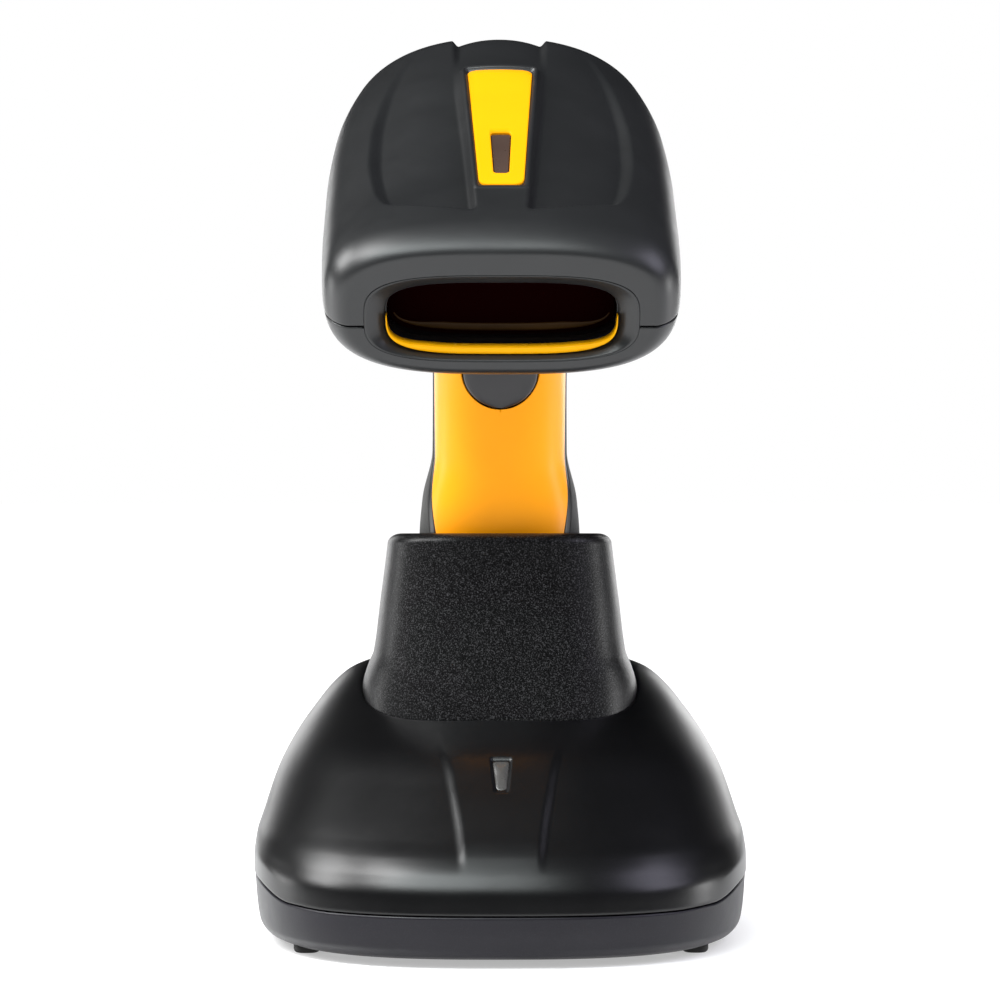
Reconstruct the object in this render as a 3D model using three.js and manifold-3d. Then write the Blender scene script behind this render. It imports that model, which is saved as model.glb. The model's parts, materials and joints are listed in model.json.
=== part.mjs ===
// Cordless handheld barcode scanner standing in its charging cradle.
// Millimetres. +Z is up, the front faces -Y, and the origin lies under the middle of the base.
import * as THREE from "three";
import { mergeVertices } from "three/addons/utils/BufferGeometryUtils.js";
import Module from "manifold-3d";

const wasm = await Module();
wasm.setup();

const GAP = 0.3; // clearance between neighbouring pieces
const RING = 28; // points round a lofted section
const HANDLE_RING = 24;
const HEAD_PITCH = 24; // degrees, the nose of the head points down by this much
const HANDLE_LEAN = 10; // degrees, the handle leans forward as it rises
const NOSE = [0, -53, 122]; // middle of the nose face
const HANDLE_END = [0, 21, 28]; // middle of the handle's lower end
const HEAD_SPLIT = -5.5; // height of the parting plane in the head's own frame
const PIVOT = [-12, 94]; // trigger pivot, back and up, in the handle's own frame

// ---------- frames: x across, y back, z up, in each sub-assembly's own directions ----------

function frameAt(degrees, origin) {
  const turned = new THREE.Matrix4().makeRotationX(THREE.MathUtils.degToRad(degrees));
  return turned.setPosition(...origin);
}

const BASE = new THREE.Matrix4();
const HEAD = frameAt(HEAD_PITCH, NOSE); // y runs from the nose to the rear
const HANDLE = frameAt(HANDLE_LEAN, HANDLE_END); // z runs up the handle

// ---------- solids ----------

function solid(geometry, frame = BASE) {
  const copy = geometry.clone().applyMatrix4(frame);
  copy.deleteAttribute("normal");
  copy.deleteAttribute("uv");
  const merged = mergeVertices(copy, 1e-4);
  const mesh = new wasm.Mesh({
    numProp: 3,
    vertProperties: merged.attributes.position.array,
    triVerts: new Uint32Array(merged.index.array),
  });
  return new wasm.Manifold(mesh);
}

function geometryOf(manifold) {
  const mesh = manifold.getMesh();
  const positions = new Float32Array(mesh.numVert * 3);
  for (let i = 0; i < mesh.numVert; i++) {
    positions.set(mesh.vertProperties.subarray(i * mesh.numProp, i * mesh.numProp + 3), i * 3);
  }
  const geometry = new THREE.BufferGeometry();
  geometry.setAttribute("position", new THREE.BufferAttribute(positions, 3));
  geometry.setIndex(new THREE.BufferAttribute(new Uint32Array(mesh.triVerts), 1));
  geometry.computeVertexNormals();
  return geometry;
}

function box([x0, x1], [y0, y1], [z0, z1], frame = BASE) {
  const geometry = new THREE.BoxGeometry(x1 - x0, y1 - y0, z1 - z0);
  geometry.translate((x0 + x1) / 2, (y0 + y1) / 2, (z0 + z1) / 2);
  return solid(geometry, frame);
}

// A turned solid about its own z axis, from [radius, z] points that start and end on the axis.
function turned(points, [x, y], frame = BASE, sides = 20) {
  const profile = points.map(([r, z]) => new THREE.Vector2(r, z));
  const geometry = new THREE.LatheGeometry(profile, sides);
  geometry.rotateX(Math.PI / 2);
  geometry.translate(x, y, 0);
  return outward(geometry, frame);
}

function rod(radius, [x, y], [z0, z1], frame = BASE, sides = 20) {
  return turned([[0, z0], [radius, z0], [radius, z1], [0, z1]], [x, y], frame, sides);
}

// A rod along x, through the point [y, z].
function crossRod(radius, [x0, x1], [y, z], frame, sides = 20) {
  const geometry = new THREE.CylinderGeometry(radius, radius, x1 - x0, sides);
  geometry.rotateZ(Math.PI / 2);
  geometry.translate((x0 + x1) / 2, y, z);
  return solid(geometry, frame);
}

// A rod along y, through the point [x, z].
function longRod(radius, [x, z], [y0, y1], frame, sides = 20) {
  const geometry = new THREE.CylinderGeometry(radius, radius, y1 - y0, sides);
  geometry.translate(x, (y0 + y1) / 2, z);
  return solid(geometry, frame);
}

// An outline in y and z, extruded along x.
function sidePrism(points, [x0, x1], frame = BASE) {
  const shape = new THREE.Shape(points.map(([y, z]) => new THREE.Vector2(y, z)));
  const geometry = new THREE.ExtrudeGeometry(shape, { depth: x1 - x0, bevelEnabled: false });
  geometry.applyMatrix4(new THREE.Matrix4().set(0, 0, 1, x0, 1, 0, 0, 0, 0, 1, 0, 0, 0, 0, 0, 1));
  return outward(geometry, frame);
}

// An outline in x and y, extruded along z.
function plate(points, [z0, z1], frame = BASE) {
  const shape = new THREE.Shape(points.map(([x, y]) => new THREE.Vector2(x, y)));
  const geometry = new THREE.ExtrudeGeometry(shape, { depth: z1 - z0, bevelEnabled: false });
  geometry.translate(0, 0, z0);
  return outward(geometry, frame);
}

// An outline in x and z, extruded along y.
function frontPrism(points, [y0, y1], frame = BASE) {
  const shape = new THREE.Shape(points.map(([x, z]) => new THREE.Vector2(x, z)));
  const geometry = new THREE.ExtrudeGeometry(shape, { depth: y1 - y0, bevelEnabled: false });
  geometry.applyMatrix4(new THREE.Matrix4().set(1, 0, 0, 0, 0, 0, -1, y1, 0, 1, 0, 0, 0, 0, 0, 1));
  return outward(geometry, frame);
}

function roundedOutline([x0, x1], [y0, y1], radius, steps = 4) {
  const corners = [[x1, y1, 0], [x0, y1, 1], [x0, y0, 2], [x1, y0, 3]];
  const points = [];
  for (const [x, y, quarter] of corners) {
    const cx = x - radius * Math.sign(x - (x0 + x1) / 2);
    const cy = y - radius * Math.sign(y - (y0 + y1) / 2);
    for (let i = 0; i <= steps; i++) {
      const angle = ((quarter + i / steps) * Math.PI) / 2;
      points.push([cx + radius * Math.cos(angle), cy + radius * Math.sin(angle)]);
    }
  }
  return points;
}

function outward(geometry, frame) {
  let made = solid(geometry, frame);
  if (made.volume() > 0) return made;
  const order = geometry.index ? geometry.index.array : null;
  if (!order) {
    const p = geometry.attributes.position.array;
    for (let i = 0; i < p.length; i += 9) {
      for (let k = 0; k < 3; k++) [p[i + 3 + k], p[i + 6 + k]] = [p[i + 6 + k], p[i + 3 + k]];
    }
    return solid(geometry, frame);
  }
  for (let i = 0; i < order.length; i += 3) [order[i + 1], order[i + 2]] = [order[i + 2], order[i + 1]];
  made = solid(geometry, frame);
  return made;
}

// ---------- lofts ----------

// Smooth values between the rows of a table, whose first column is the position, without overshoot.
function smoothTable(rows) {
  const slopes = rows.map((row, i) => {
    if (i === 0 || i === rows.length - 1) return row.map(() => 0);
    return row.map((value, c) => {
      const before = (value - rows[i - 1][c]) / (row[0] - rows[i - 1][0]);
      const after = (rows[i + 1][c] - value) / (rows[i + 1][0] - row[0]);
      return before * after <= 0 ? 0 : (2 * before * after) / (before + after);
    });
  });
  const last = rows.length - 1;
  for (let c = 1; c < rows[0].length; c++) {
    slopes[0][c] = (rows[1][c] - rows[0][c]) / (rows[1][0] - rows[0][0]);
    slopes[last][c] = (rows[last][c] - rows[last - 1][c]) / (rows[last][0] - rows[last - 1][0]);
  }
  return (at) => {
    let i = 0;
    while (i < last - 1 && at > rows[i + 1][0]) i++;
    const width = rows[i + 1][0] - rows[i][0];
    const u = (at - rows[i][0]) / width;
    return rows[i].map((value, c) => {
      if (c === 0) return at;
      const next = rows[i + 1][c];
      const a = (1 + 2 * u) * (1 - u) ** 2 * value + u * u * (3 - 2 * u) * next;
      const b = u * (1 - u) ** 2 * slopes[i][c] * width - u * u * (1 - u) * slopes[i + 1][c] * width;
      return a + b;
    });
  };
}

// One closed loop: [position, half width, low, high, power], as points across x and v.
function section([at, half, low, high, power], centred, grow, ring) {
  const points = [];
  const middle = centred ? (low + high) / 2 : 0;
  for (let i = 0; i < ring; i++) {
    const angle = (2 * Math.PI * i) / ring;
    const c = Math.cos(angle);
    const s = Math.sin(angle);
    const reach = (s > 0 ? high - middle : middle - low) + grow;
    const x = (half + grow) * Math.sign(c) * Math.abs(c) ** (2 / power);
    const v = middle + reach * Math.sign(s) * Math.abs(s) ** (2 / power);
    points.push([x, v, at]);
  }
  return points;
}

// A closed solid through sections. along is "z", or "y" for the head, where v is the height.
function loft(rows, { frame = BASE, along = "z", centred = false, grow = 0 } = {}) {
  const ring = frame === HANDLE ? HANDLE_RING : RING;
  const positions = [];
  const order = [];
  const place = ([x, v, at]) => (along === "z" ? [x, v, at] : [x, at, v]);
  for (const row of rows) {
    for (const point of section(row, centred, grow, ring)) positions.push(...place(point));
  }
  for (let r = 0; r < rows.length - 1; r++) {
    for (let i = 0; i < ring; i++) {
      const a = r * ring + i;
      const b = r * ring + ((i + 1) % ring);
      order.push(a, b, b + ring, a, b + ring, a + ring);
    }
  }
  const first = positions.length / 3;
  for (const row of [rows[0], rows[rows.length - 1]]) {
    positions.push(...place([0, (row[2] + row[3]) / 2, row[0]]));
  }
  const top = (rows.length - 1) * ring;
  for (let i = 0; i < ring; i++) {
    const next = (i + 1) % ring;
    order.push(first, next, i);
    order.push(first + 1, top + i, top + next);
  }
  const geometry = new THREE.BufferGeometry();
  geometry.setAttribute("position", new THREE.Float32BufferAttribute(positions, 3));
  geometry.setIndex(order);
  return outward(geometry, frame);
}

function sampled(table, stations) {
  const at = smoothTable(table);
  return stations.map(at);
}

// ---------- shape tables, in millimetres ----------

// Head: distance from the nose, half width, bottom, top, squareness.
const HEAD_TABLE = [
  [0, 27.6, -12, 10.5, 3.1],
  [0.7, 29.6, -13.4, 12, 3.1],
  [2.5, 31.6, -14.6, 13.4, 3],
  [6, 33, -15.4, 14.7, 2.9],
  [12, 33.6, -15.8, 15.9, 2.75],
  [30, 34, -15.5, 18.2, 2.42],
  [50, 34, -15.1, 20.4, 2.36],
  [70, 33.2, -14.6, 22, 2.38],
  [85, 30.8, -13.7, 22.2, 2.42],
  [95, 26.6, -11.6, 19.6, 2.3],
  [102, 20.4, -9, 14.8, 2.1],
  [105.5, 13, -6, 9.5, 2],
  [107, 6, -3, 4.5, 2],
];
const HEAD_STATIONS = [0, 0.7, 2.5, 6, 12, 30, 50, 70, 79, 87, 94, 99.5, 103.5, 107];
const HEAD_INNER = [
  [2.4, 27.4, -11.2, 10.4, 2.7],
  [6, 29.8, -12.8, 12.3, 2.6],
  [30, 30.6, -13, 15.8, 2.4],
  [50, 30.6, -12.6, 18, 2.3],
  [70, 30, -12.1, 19.4, 2.3],
  [85, 27.6, -11.2, 19, 2.2],
  [95, 23.2, -9.2, 16.2, 2.1],
  [101, 17, -6.6, 11.5, 2],
  [104, 8, -3, 5, 2],
];

// Handle: distance up from its lower end, half width, front, back, squareness.
const HANDLE_TABLE = [
  [0, 13, -15, 15, 2.6],
  [25, 14.5, -16, 17, 2.5],
  [50, 15.95, -17, 18.5, 2.4],
  [58, 15.35, -16.3, 17.8, 2.4],
  [68, 13.3, -15.8, 17, 2.4],
  [80, 13.2, -16.4, 16.8, 2.5],
  [88, 13.2, -18.2, 17.6, 2.6],
  [95, 13.3, -21.2, 19.6, 2.7],
  [101, 13.4, -25, 21.8, 2.8],
  [116, 13.6, -35, 28, 2.8],
];
const HANDLE_STATIONS = [3.3, 25, 50, 58, 68, 80, 88, 95, 101, 108, 116];
const HANDLE_TOP = 116;

// Cradle cover: height, half width, front, back, squareness.
const COVER_TABLE = [
  [10.5, 48.3, -57.5, 57.5, 2.5],
  [14.5, 48.3, -56, 57.4, 2.5],
  [22, 47.3, -50, 57, 2.5],
  [31.5, 44.3, -40, 55, 2.5],
  [37, 41.6, -31, 53.5, 2.5],
  [42.8, 37.7, -18, 51, 2.5],
  [49.7, 31.3, 2, 46, 2.5],
  [52.2, 25.4, 12, 42, 2.4],
  [53.4, 14, 20, 36, 2.2],
];
const COVER_STATIONS = [10.5, 14.5, 22, 31.5, 37, 42.8, 46.5, 49.7, 52.2, 53.4];
const TRAY_TABLE = [
  [1.5, 44, -53.4, 53.4, 2.7],
  [2.2, 45.9, -55.2, 55.2, 2.6],
  [4, 47.2, -56.5, 56.5, 2.5],
  [7, 47.8, -57.2, 57.2, 2.5],
  [10.2, 48.1, -57.4, 57.4, 2.5],
];

// Collar: height, half width, front, back, squareness.
const COLLAR_TABLE = [
  [38, 27.8, -19, 45.5, 3],
  [43, 27.8, -18.2, 45, 3],
  [47.5, 27.4, -17.2, 44, 3],
  [51.7, 26.3, -16, 42.8, 3.1],
  [55, 24.9, -15.5, 41.6, 3.2],
  [66, 23.4, -13.9, 39.2, 3.2],
  [76.4, 22.1, -12.5, 36.9, 3.2],
  [78.2, 21.5, -12.1, 36.3, 3.2],
  [79, 20.4, -11.5, 35.4, 3.2],
];

// ---------- paint ----------

const PAINT = {
  charcoal: [0x3c3c3e, 0.6],
  yellow: [0xffb400, 0.25],
  label: [0xffd600, 0.2],
  rubber: [0x4a4a4a, 0.9],
  black: [0x161616, 0.45],
  gloss: [0x0b0b0c, 0.15],
  lens: [0x2a0d0c, 0.1],
  pipe: [0x6f6f6c, 0.3],
  steel: [0x9a9a9c, 0.35],
  gold: [0xd0a545, 0.3],
  board: [0x1f5a35, 0.6],
  battery: [0x2b4a8a, 0.4],
};

const scanner = new THREE.Group();

function part(name, manifold, paint) {
  const [color, roughness] = PAINT[paint];
  const material = new THREE.MeshStandardMaterial({ color, roughness });
  const mesh = new THREE.Mesh(geometryOf(manifold), material);
  mesh.name = name;
  scanner.add(mesh);
}

function joined(...solids) {
  return solids.reduce((all, next) => all.add(next));
}

function cut(body, ...tools) {
  return tools.reduce((left, tool) => left.subtract(tool), body);
}

// ---------- cradle ----------

function insetTable(table, side, ends, drop) {
  return table.map(([at, half, low, high, power]) => [at - drop, half - side, low + ends, high - ends, power]);
}

const collarOuter = loft(COLLAR_TABLE, { centred: true });
const coverOuter = loft(sampled(COVER_TABLE, COVER_STATIONS), { centred: true });
const coverInner = loft(insetTable(sampled(COVER_TABLE, [10.5, 16, 22, 31.5, 37, 42.8, 49.7, 52.2]), 2.3, 2.6, 2.2), {
  centred: true,
});
const SCREW_SPOTS = [[-30, -34], [30, -34], [-32, 38], [32, 38]];
const COLLAR_SCREWS = [[-22.6, 20], [22.6, 20]];

// The handle's socket: a straight cup about the handle's axis.
const CUP_OUTER = [[-4.7, 18.9, -20.9, 21.9, 2.9], [53, 18.9, -20.9, 21.9, 2.9]];
const CUP_INNER = [[-2.4, 17.3, -19.3, 20.3, 2.9], [60, 17.3, -19.3, 20.3, 2.9]];
const cupOuter = loft(CUP_OUTER, { frame: HANDLE });
const cupHole = loft(CUP_OUTER.map(([at, ...rest]) => [at === 53 ? 60 : at, ...rest]), {
  frame: HANDLE,
  grow: GAP,
});
const cupInner = loft(CUP_INNER, { frame: HANDLE });
// The collar's rim drops a little towards the back.
const rimPlane = sidePrism([[-30, 79.7], [60, 76], [60, 120], [-30, 120]], [-40, 40]);
const cupRim = sidePrism([[-30, 79.1], [60, 75.4], [60, 120], [-30, 120]], [-40, 40]);
const PIN_SPOTS = [[-5, 0], [5, 0]];

function makeTray() {
  const outer = loft(TRAY_TABLE, { centred: true });
  const hollow = loft([[4, 44.6, -53.8, 53.8, 2.5], [12, 46, -55.2, 55.2, 2.5]], { centred: true });
  let tray = cut(outer, hollow);
  for (const [x, y] of SCREW_SPOTS) {
    tray = tray.add(rod(4.6, [x, y], [3.5, 9.8], BASE, 16));
    tray = cut(tray, rod(3.4, [x, y], [0, 4.2], BASE, 16), rod(1.7, [x, y], [0, 12], BASE, 12));
  }
  for (const [name, x, y] of FEET) {
    tray = cut(tray, plate(footOutline(x, y, GAP), [1, 2.1]));
  }
  return tray;
}

const FEET = [
  ["foot_front_left", -37, -28],
  ["foot_front_right", 37, -28],
  ["foot_rear_left", -37, 30],
  ["foot_rear_right", 37, 30],
];

function footOutline(x, y, grow) {
  return roundedOutline([x - 2.6 - grow, x + 2.6 + grow], [y - 6 - grow, y + 6 + grow], 2.4 + grow, 3);
}

function makeCover() {
  const bosses = SCREW_SPOTS.map(([x, y]) => rod(4, [x, y], [10.6, 44], BASE, 16));
  const core = loft(insetTable(sampled(COVER_TABLE, [10.5, 22, 31.5, 42.8, 52.2]), 1, 1, 1), { centred: true });
  let cover = cut(coverOuter, coverInner);
  for (const boss of bosses) cover = cover.add(boss.intersect(core));
  for (const [x, y] of SCREW_SPOTS) cover = cut(cover, rod(1.7, [x, y], [10, 20], BASE, 12));
  const throat = loft([[30, 27.8, -19, 45.5, 3], ...COLLAR_TABLE], { centred: true, grow: GAP });
  cover = cut(cover, throat, lightPipe(GAP), box([-8.2, 8.2], [50, 60], [13.2, 26.2]));
  return cover;
}

// The light pipe follows the cover's slope at the front of the cradle.
function lightPipe(grow) {
  const side = [[-40.5 - grow, 20], [-30.5 + grow, 20], [-30.5 + grow, 40], [-40.5 - grow, 40]];
  const plan = [
    [-1.05 - grow, -40.5 - grow],
    [1.05 + grow, -40.5 - grow],
    [1.9 + grow, -30.5 + grow],
    [-1.9 - grow, -30.5 + grow],
  ];
  const skin = cut(coverOuter, loft(insetTable(sampled(COVER_TABLE, [10.5, 22, 31.5, 42.8, 52.2]), 2.6, 4, 2.6), {
    centred: true,
  }));
  const blade = sidePrism(side, [-3, 3]).intersect(plate(plan, [10, 45]));
  const wide = grow ? blade : blade.intersect(skin);
  const legWidth = 1.2 + grow;
  return wide.add(box([-legWidth, legWidth], [-36.6 - grow, -34.4 + grow], [grow ? 16.5 : 16.8, 33]));
}

function makeCollar() {
  const hollow = loft(insetTable(COLLAR_TABLE.slice(0, 7), 2.3, 2.3, 2.4), { centred: true });
  const bosses = COLLAR_SCREWS.map(([x, y]) => rod(3, [x, y], [38.4, 56], BASE, 14));
  let collar = cut(collarOuter, hollow);
  for (const boss of bosses) collar = collar.add(boss.intersect(collarOuter));
  for (const [x, y] of COLLAR_SCREWS) collar = cut(collar, rod(1.6, [x, y], [36, 50], BASE, 12));
  return cut(collar, cupHole, rimPlane);
}

function makeCup() {
  const flange = plate(roundedOutline([-25.6, 25.6], [8, 31], 3), [35.6, 37.8]);
  let cup = cut(cupOuter.add(flange), cupInner, cupRim);
  for (const [x, y] of COLLAR_SCREWS) cup = cut(cup, rod(1.6, [x, y], [30, 40], BASE, 12));
  for (const spot of PIN_SPOTS) cup = cut(cup, rod(1.5, spot, [-8, 2], HANDLE, 12));
  return cup;
}

function screw([x, y], [bottom, top], frame, headRadius = 2.8, headHeight = 2) {
  const profile = [
    [0, bottom],
    [headRadius, bottom],
    [headRadius, bottom + headHeight],
    [1.25, bottom + headHeight],
    [1.25, top],
    [0, top],
  ];
  return turned(profile, [x, y], frame, 8);
}

function makeCradle() {
  part("base_tray", makeTray(), "black");
  part("base_cover", makeCover(), "black");
  part("collar", makeCollar(), "black");
  part("socket_cup", makeCup(), "black");
  for (const [name, x, y] of FEET) part(name, plate(footOutline(x, y, 0), [0, 1.8]), "rubber");
  part("status_light_pipe", lightPipe(0), "pipe");
  part("cradle_board", plate(roundedOutline([-22, 22], [-40, 38], 3), [12.4, 14]), "board");
  part("cradle_led", box([-1.6, 1.6], [-37.1, -33.9], [14.3, 16.2]), "pipe");
  part("radio_module", plate(roundedOutline([-7, 7], [-26, -6], 1, 2), [14.3, 17]), "steel");
  part("ballast_plate", plate(roundedOutline([-24, 24], [-44, 44], 5), [4.4, 8.4]), "steel");
  const port = cut(
    box([-7.8, 7.8], [42, 57], [14.4, 25.8]),
    box([-5.8, 5.8], [45, 60], [16.2, 24]),
  );
  part("data_port", port, "black");
  const block = cut(
    box([-9, 9], [-4, 4], [-12, -7.6], HANDLE),
    ...PIN_SPOTS.map((spot) => rod(1.3, spot, [-13, -5], HANDLE, 12)),
  );
  part("contact_block", block, "black");
  SCREW_SPOTS.forEach((spot, i) => {
    part(`base_screw_${i + 1}`, screw(spot, [1.9, 16], BASE), "steel");
  });
  COLLAR_SCREWS.forEach((spot, i) => {
    part(`collar_screw_${i + 1}`, screw(spot, [33.2, 47], BASE, 2.6), "steel");
  });
  PIN_SPOTS.forEach((spot, i) => {
    const profile = [[0, -12], [1, -12], [1, -6.4], [1.9, -6.4], [1.9, -5.4], [1, -5.4], [1, 0.4], [0.6, 0.9], [0, 0.9]];
    part(i ? "charge_pin_right" : "charge_pin_left", turned(profile, spot, HANDLE, 10), "gold");
  });
}

// ---------- head ----------

const headOuter = loft(sampled(HEAD_TABLE, HEAD_STATIONS), { frame: HEAD, along: "y" });
const headInner = loft(HEAD_INNER, { frame: HEAD, along: "y" });
const headFat = loft(sampled(HEAD_TABLE, HEAD_STATIONS), { frame: HEAD, along: "y", grow: 1 });
const headLean = loft(sampled(HEAD_TABLE, HEAD_STATIONS), { frame: HEAD, along: "y", grow: -0.7 });

// Rings of the nose opening: distance in, half width, bottom, top, squareness.
const MOUTH = [[-1, 25.7, -10.8, 7, 3.4], [4.4, 25.7, -10.8, 7, 3.4]];
const BEZEL_OUTER = [[0.1, 25.4, -10.5, 6.7, 3.4], [3.5, 25.4, -10.5, 6.7, 3.4]];
const BEZEL_INNER = [
  [-1, 26.3, -10.9, 7.1, 3.4],
  [0.4, 24.9, -10.3, 6.5, 3.4],
  [2.6, 21.6, -9, 5.4, 3.6],
  [5, 21.6, -9, 5.4, 3.6],
];
const LIP_OUTER = [[1.2, 21.3, -8.7, 5.1, 3.6], [3.2, 21.3, -8.7, 5.1, 3.6]];
const LIP_INNER = [[0, 20.6, -7.9, 4.5, 3.6], [5, 20.4, -7.9, 4.4, 3.6]];

function ringOf(outer, inner) {
  const options = { frame: HEAD, along: "y", centred: true };
  return cut(loft(outer, options), loft(inner, options));
}

// Length along the head, then half width: the label and the recessed panels beside the spine.
const LABEL_ENDS = [[19.5, 4.2], [70, 6.45]];

function labelOutline(grow) {
  const [[front, narrow], [rear, wide]] = LABEL_ENDS;
  return [
    [-narrow - grow, front - grow],
    [narrow + grow, front - grow],
    [wide + grow, rear + grow],
    [-wide - grow, rear + grow],
  ];
}

function panelOutline(side) {
  return [[5.6, 10.5], [23, 11], [22.6, 40], [21.4, 62], [17, 86], [9.6, 90], [9.2, 60], [7.2, 34]]
    .map(([x, t]) => [side * x, t]);
}

function statusOutline(grow) {
  return [[-1.3 - grow, 24 - grow], [1.3 + grow, 24 - grow], [1.85 + grow, 40 + grow], [-1.85 - grow, 40 + grow]];
}

function makeTopShell() {
  const half = box([-50, 50], [-10, 120], [HEAD_SPLIT + 0.15, 60], HEAD);
  const wide = loft(MOUTH, { frame: HEAD, along: "y", centred: true });
  let shell = cut(headOuter, headInner, wide).intersect(half);
  for (const side of [-1, 1]) {
    shell = cut(shell, plate(panelOutline(side), [5, 40], HEAD).intersect(cut(headFat, headLean)));
  }
  const bed = plate(labelOutline(GAP), [5, 40], HEAD).intersect(cut(headFat, headLean));
  const slot = plate(statusOutline(GAP), [5, 40], HEAD);
  const posts = [[-18, 84], [18, 84]].map(([x, t]) => rod(2.6, [x, t], [-4.5, 16], HEAD, 12).intersect(headOuter));
  shell = joined(cut(shell, bed, slot), ...posts);
  return cut(shell, ...[[-18, 84], [18, 84]].map((spot) => rod(1.6, spot, [-8, 6], HEAD, 12)));
}

const HEAD_SCREWS = [[-18, 84], [18, 84]];

function makeBottomShell() {
  const half = box([-50, 50], [-10, 120], [-40, HEAD_SPLIT - 0.15], HEAD);
  const wide = loft(MOUTH, { frame: HEAD, along: "y", centred: true });
  let shell = cut(headOuter, headInner, wide).intersect(half);
  shell = cut(shell, box([-9.2, 9.2], [-16, 14], [80, 140], HANDLE));
  for (const spot of HEAD_SCREWS) {
    shell = shell.add(rod(3.6, spot, [-13, -6.4], HEAD, 14).intersect(headOuter));
    shell = cut(shell, rod(1.6, spot, [-30, 0], HEAD, 12), rod(3, spot, [-30, -9.6], HEAD, 14));
  }
  return shell;
}

function makeHead() {
  part("head_top_shell", makeTopShell(), "charcoal");
  part("head_bottom_shell", makeBottomShell(), "charcoal");
  part("nose_bezel", ringOf(BEZEL_OUTER, BEZEL_INNER), "charcoal");
  const lower = box([-40, 40], [-5, 20], [-30, -2.2], HEAD);
  part("nose_lip", ringOf(LIP_OUTER, LIP_INNER).intersect(lower), "yellow");
  const frameOuter = [[3.8, 23.6, -10.2, 6.6, 3.4], [12, 23.6, -10.2, 6.6, 3.4]];
  const frameInner = [[3, 20.6, -7.9, 4.4, 3.6], [8.7, 18.9, -6.6, 3.6, 3.4], [13, 18.9, -6.6, 3.6, 3.4]];
  part("window_frame", ringOf(frameOuter, frameInner), "gloss");
  const pane = [[9, 18.6, -6.3, 3.3, 3.4], [10.3, 18.6, -6.3, 3.3, 3.4]];
  part("scan_window", loft(pane, { frame: HEAD, along: "y", centred: true }), "lens");
  const seal = [[10.6, 18.6, -6.3, 3.3, 3.4], [11.6, 18.6, -6.3, 3.3, 3.4]];
  const sealHole = [[10, 16.9, -4.8, 1.8, 3.2], [12, 16.9, -4.8, 1.8, 3.2]];
  part("window_gasket", ringOf(seal, sealHole), "rubber");
  const skin = cut(
    loft(sampled(HEAD_TABLE, HEAD_STATIONS), { frame: HEAD, along: "y", grow: 0.15 }),
    loft(sampled(HEAD_TABLE, HEAD_STATIONS), { frame: HEAD, along: "y", grow: -0.4 }),
  );
  const label = plate(labelOutline(0), [5, 40], HEAD).intersect(skin);
  part("label_plate", cut(label, plate(statusOutline(GAP), [5, 40], HEAD)), "label");
  const window = plate(statusOutline(0), [5, 40], HEAD).intersect(skin);
  part("label_light_window", window, "lens");
  part("status_light_guide", box([-1.2, 1.2], [26, 38], [7, 14.6], HEAD), "pipe");
  part("main_board", plate(roundedOutline([-21, 21], [32, 80], 2), [4.6, 6.2], HEAD), "board");
  part("scan_engine", box([-11, 11], [15, 28], [-7.4, 3.4], HEAD), "steel");
  part("engine_lens", longRod(3.6, [0, -1.6], [12.3, 14.7], HEAD, 18), "gloss");
  const bracket = sidePrism([[15, -9.6], [31, -9.6], [31, 2.6], [29.6, 2.6], [29.6, -8.2], [15, -8.2]], [-14, 14], HEAD);
  part("engine_bracket", bracket, "steel");
  part("beeper", rod(5.5, [0, 60], [6.5, 11], HEAD, 18), "gloss");
  HEAD_SCREWS.forEach((spot, i) => {
    part(`head_screw_${i + 1}`, screw(spot, [-11.9, 4], HEAD, 2.6), "steel");
  });
}

// ---------- handle and trigger ----------

const handleRows = sampled(HANDLE_TABLE, HANDLE_STATIONS);
const handleOuter = loft(handleRows, { frame: HANDLE });
const handleInner = loft(handleRows.map(([at, half, low, high, power]) => {
  return [at === 3.3 ? 2 : at === HANDLE_TOP ? at + 2 : at, half - 2.8, low + 2.6, high - 2.8, power];
}), { frame: HANDLE });
const padRecess = cut(loft(handleRows, { frame: HANDLE, grow: 1 }), loft(handleRows.map(([at, half, low, high, power]) => {
  return [at === 3.3 ? 2 : at === HANDLE_TOP ? at + 2 : at, half - 1.4, low + 1.2, high - 1.4, power];
}), { frame: HANDLE }));
const headClear = loft(sampled(HEAD_TABLE, HEAD_STATIONS), { frame: HEAD, along: "y", grow: GAP });

// The line between the yellow front and the rest of the handle, seen from the side: back, up.
function splitLine(offset) {
  return [[-11.4, 0], [-11.6, 25], [-12.2, 50], [-9.5, 58], [-5.5, 67], [-4.6, 80], [-5, 95], [-6, 119]]
    .map(([y, z]) => [y + offset, z]);
}

function frontRegion(offset) {
  return sidePrism([...splitLine(offset), [-60, 119], [-60, 0]], [-40, 40], HANDLE);
}

function backRegion(offset) {
  return sidePrism([...splitLine(offset), [60, 119], [60, 0]], [-40, 40], HANDLE);
}

// Side pads of rubber: from just behind the yellow front to the back.
function gripRegion(side, grow) {
  const front = splitLine(1.7 - grow).slice(1, 7);
  const outline = [...front, [8.5 + grow, 95], [10.5 + grow, 60], [10 + grow, 25]];
  if (grow) {
    outline[0] = [outline[0][0], 25 - grow];
    outline[5] = [outline[5][0], 95 + grow];
    outline[6] = [8.5 + grow, 95 + grow];
    outline[8] = [10 + grow, 25 - grow];
  }
  return sidePrism(outline, side > 0 ? [4, 40] : [-40, -4], HANDLE);
}

function tongueOutline(grow) {
  const half = 7.75 + grow;
  const points = [[half, 120], [-half, 120]];
  for (let i = 0; i <= 10; i++) {
    const angle = Math.PI + (Math.PI * i) / 10;
    points.push([half * Math.cos(angle), 86.8 + (half + (grow ? 0.3 : 0)) * Math.sin(angle)]);
  }
  return points;
}

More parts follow.
